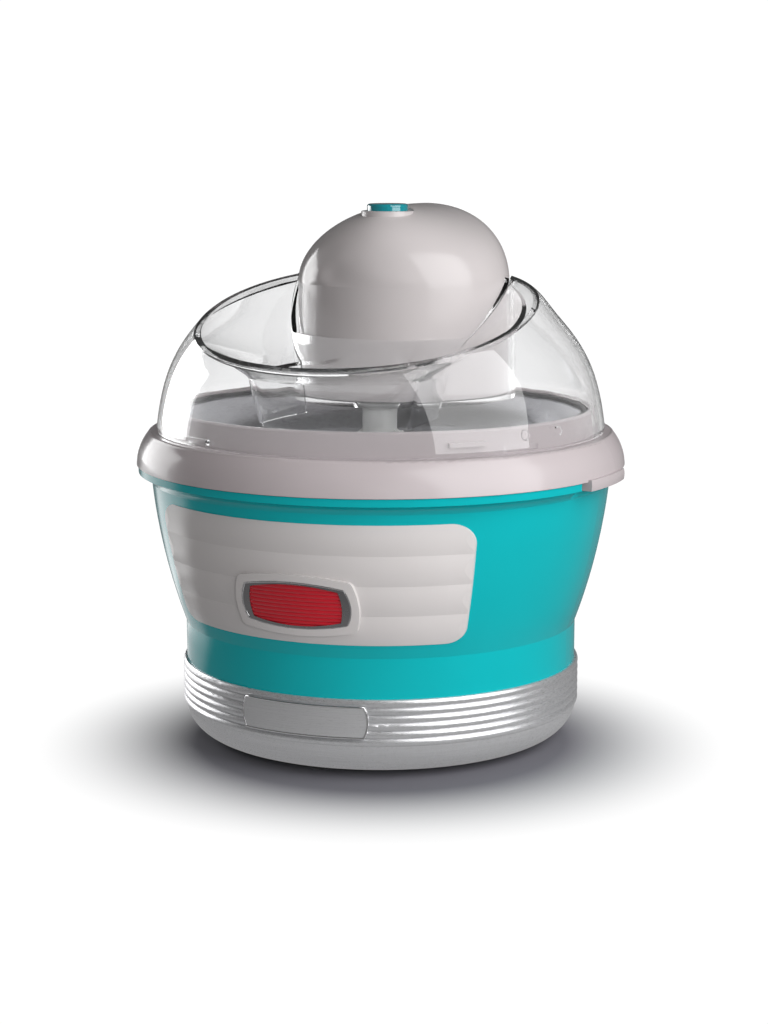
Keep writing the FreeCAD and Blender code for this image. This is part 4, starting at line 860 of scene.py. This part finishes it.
floor_tree.links.new(chain(floor_tree, "MAXIMUM", glow_share, reflected), paper.inputs["Fac"])
floor_tree.links.new(floor_shader.outputs["BSDF"], paper.inputs[1])
floor_tree.links.new(glow.outputs["Emission"], paper.inputs[2])
wire(floor_tree, paper, "Shader", floor_tree.nodes["Material Output"], "Surface")
print(f"floor: {len(floor_tree.nodes)} shader nodes")

# %% [markdown]
# ## The world
#
# Above the floor there is only white. The same backdrop shader goes into the world, where
# Generated coordinates are the direction of the ray.

# %% Sky
world = bpy.data.worlds.new("studio")
bpy.context.scene.world = world
world.use_nodes = True
sky_tree = world.node_tree
SKY_LIGHTS, SKY_DIM, SKY_STRIP = 0.04, 0.12, 0.9
sky_in_a_mirror = mirrored(sky_tree, "Generated", SKY_DIM, SKY_STRIP)
sky = lit_backdrop(sky_tree, "ShaderNodeBackground", SKY_LIGHTS, sky_in_a_mirror)
wire(sky_tree, sky, "Background", sky_tree.nodes["World Output"], "Surface")
print(f"world: {len(sky_tree.nodes)} shader nodes")

# %% [markdown]
# ## Lamps
#
# One large softbox at the front right models the shapes and makes the pale window on the dome. A
# smaller one stands behind the left edge and lines it. A lamp over the camera fills the front and
# one behind fills the back. The two fills would add lamps to every reflection, so gloss doesn't
# see them. A shadow ray has brought the lamps' light into the lid already, so through the lid they
# stay unseen and don't count twice. The left one is weak enough to be let through, and it draws
# the bright edge down the head inside the lid.


# %% Softboxes
OBJECT_MIDDLE = Vector((0, 0, 0.14))


def softbox(name, place, width, height, power, in_reflections=True, through_lid=False):
    """Rectangular lamp, sizes in metres and power in watts, turned to the object."""
    data = bpy.data.lights.new(name, "AREA")
    data.shape = "RECTANGLE"
    data.size, data.size_y = width, height
    data.energy = power
    lamp = bpy.data.objects.new(name, data)
    lamp.location = place
    lamp.rotation_euler = (OBJECT_MIDDLE - place).to_track_quat("-Z", "Y").to_euler()
    lamp.visible_transmission = through_lid
    lamp.visible_glossy = in_reflections
    bpy.context.scene.collection.objects.link(lamp)
    print(f"{name}: {power} W, {width} x {height} m")


softbox("softbox_right", from_camera_side(51, 0.9, 0.60), width=1.0, height=1.05, power=13.5)
softbox("softbox_left", from_camera_side(-128, 1.1, 0.33), 0.7, 0.5, power=4.2, through_lid=True)
softbox("front_lamp", from_camera_side(8, 1.6, 0.50), 0.6, 0.6, power=9.5, in_reflections=False)
softbox("back_lamp", from_camera_side(172, 1.6, 0.60), 0.6, 0.6, power=4.0, in_reflections=False)

# %% [markdown]
# ## Camera
#
# A long lens from a metre away keeps the round shapes calm. The camera is turned and tilted by two
# rotations, first about its own side, then about the vertical, so its sides stay upright. Standard
# as the view transform shows colours about as they are written.

# %% Camera and view
camera_data = bpy.data.cameras.new("camera")
camera_data.lens = 77.46
camera_data.sensor_width = 36
camera_data.shift_x = 0.0032
camera_data.clip_start = 0.05
camera = bpy.data.objects.new("camera", camera_data)
turn = Matrix.Rotation(math.radians(CAMERA_AZIMUTH), 4, "Z")
tilt = Matrix.Rotation(math.radians(90 - CAMERA_PITCH), 4, "X")
camera.matrix_world = Matrix.Translation(camera_place) @ turn @ tilt
bpy.context.scene.collection.objects.link(camera)
bpy.context.scene.camera = camera
bpy.context.scene.view_settings.view_transform = "Standard"
print(f"camera: {camera_data.lens:.2f} mm lens, {CAMERA_PITCH} degrees down")

# %% [markdown]
#
# The trim must not make the part larger than the model. Both boxes are printed, one line each:
# the CAD box at the start and the dressed box here.

# %% Print the dressed size
dressed_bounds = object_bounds()
print_box("dressed box", dressed_bounds)
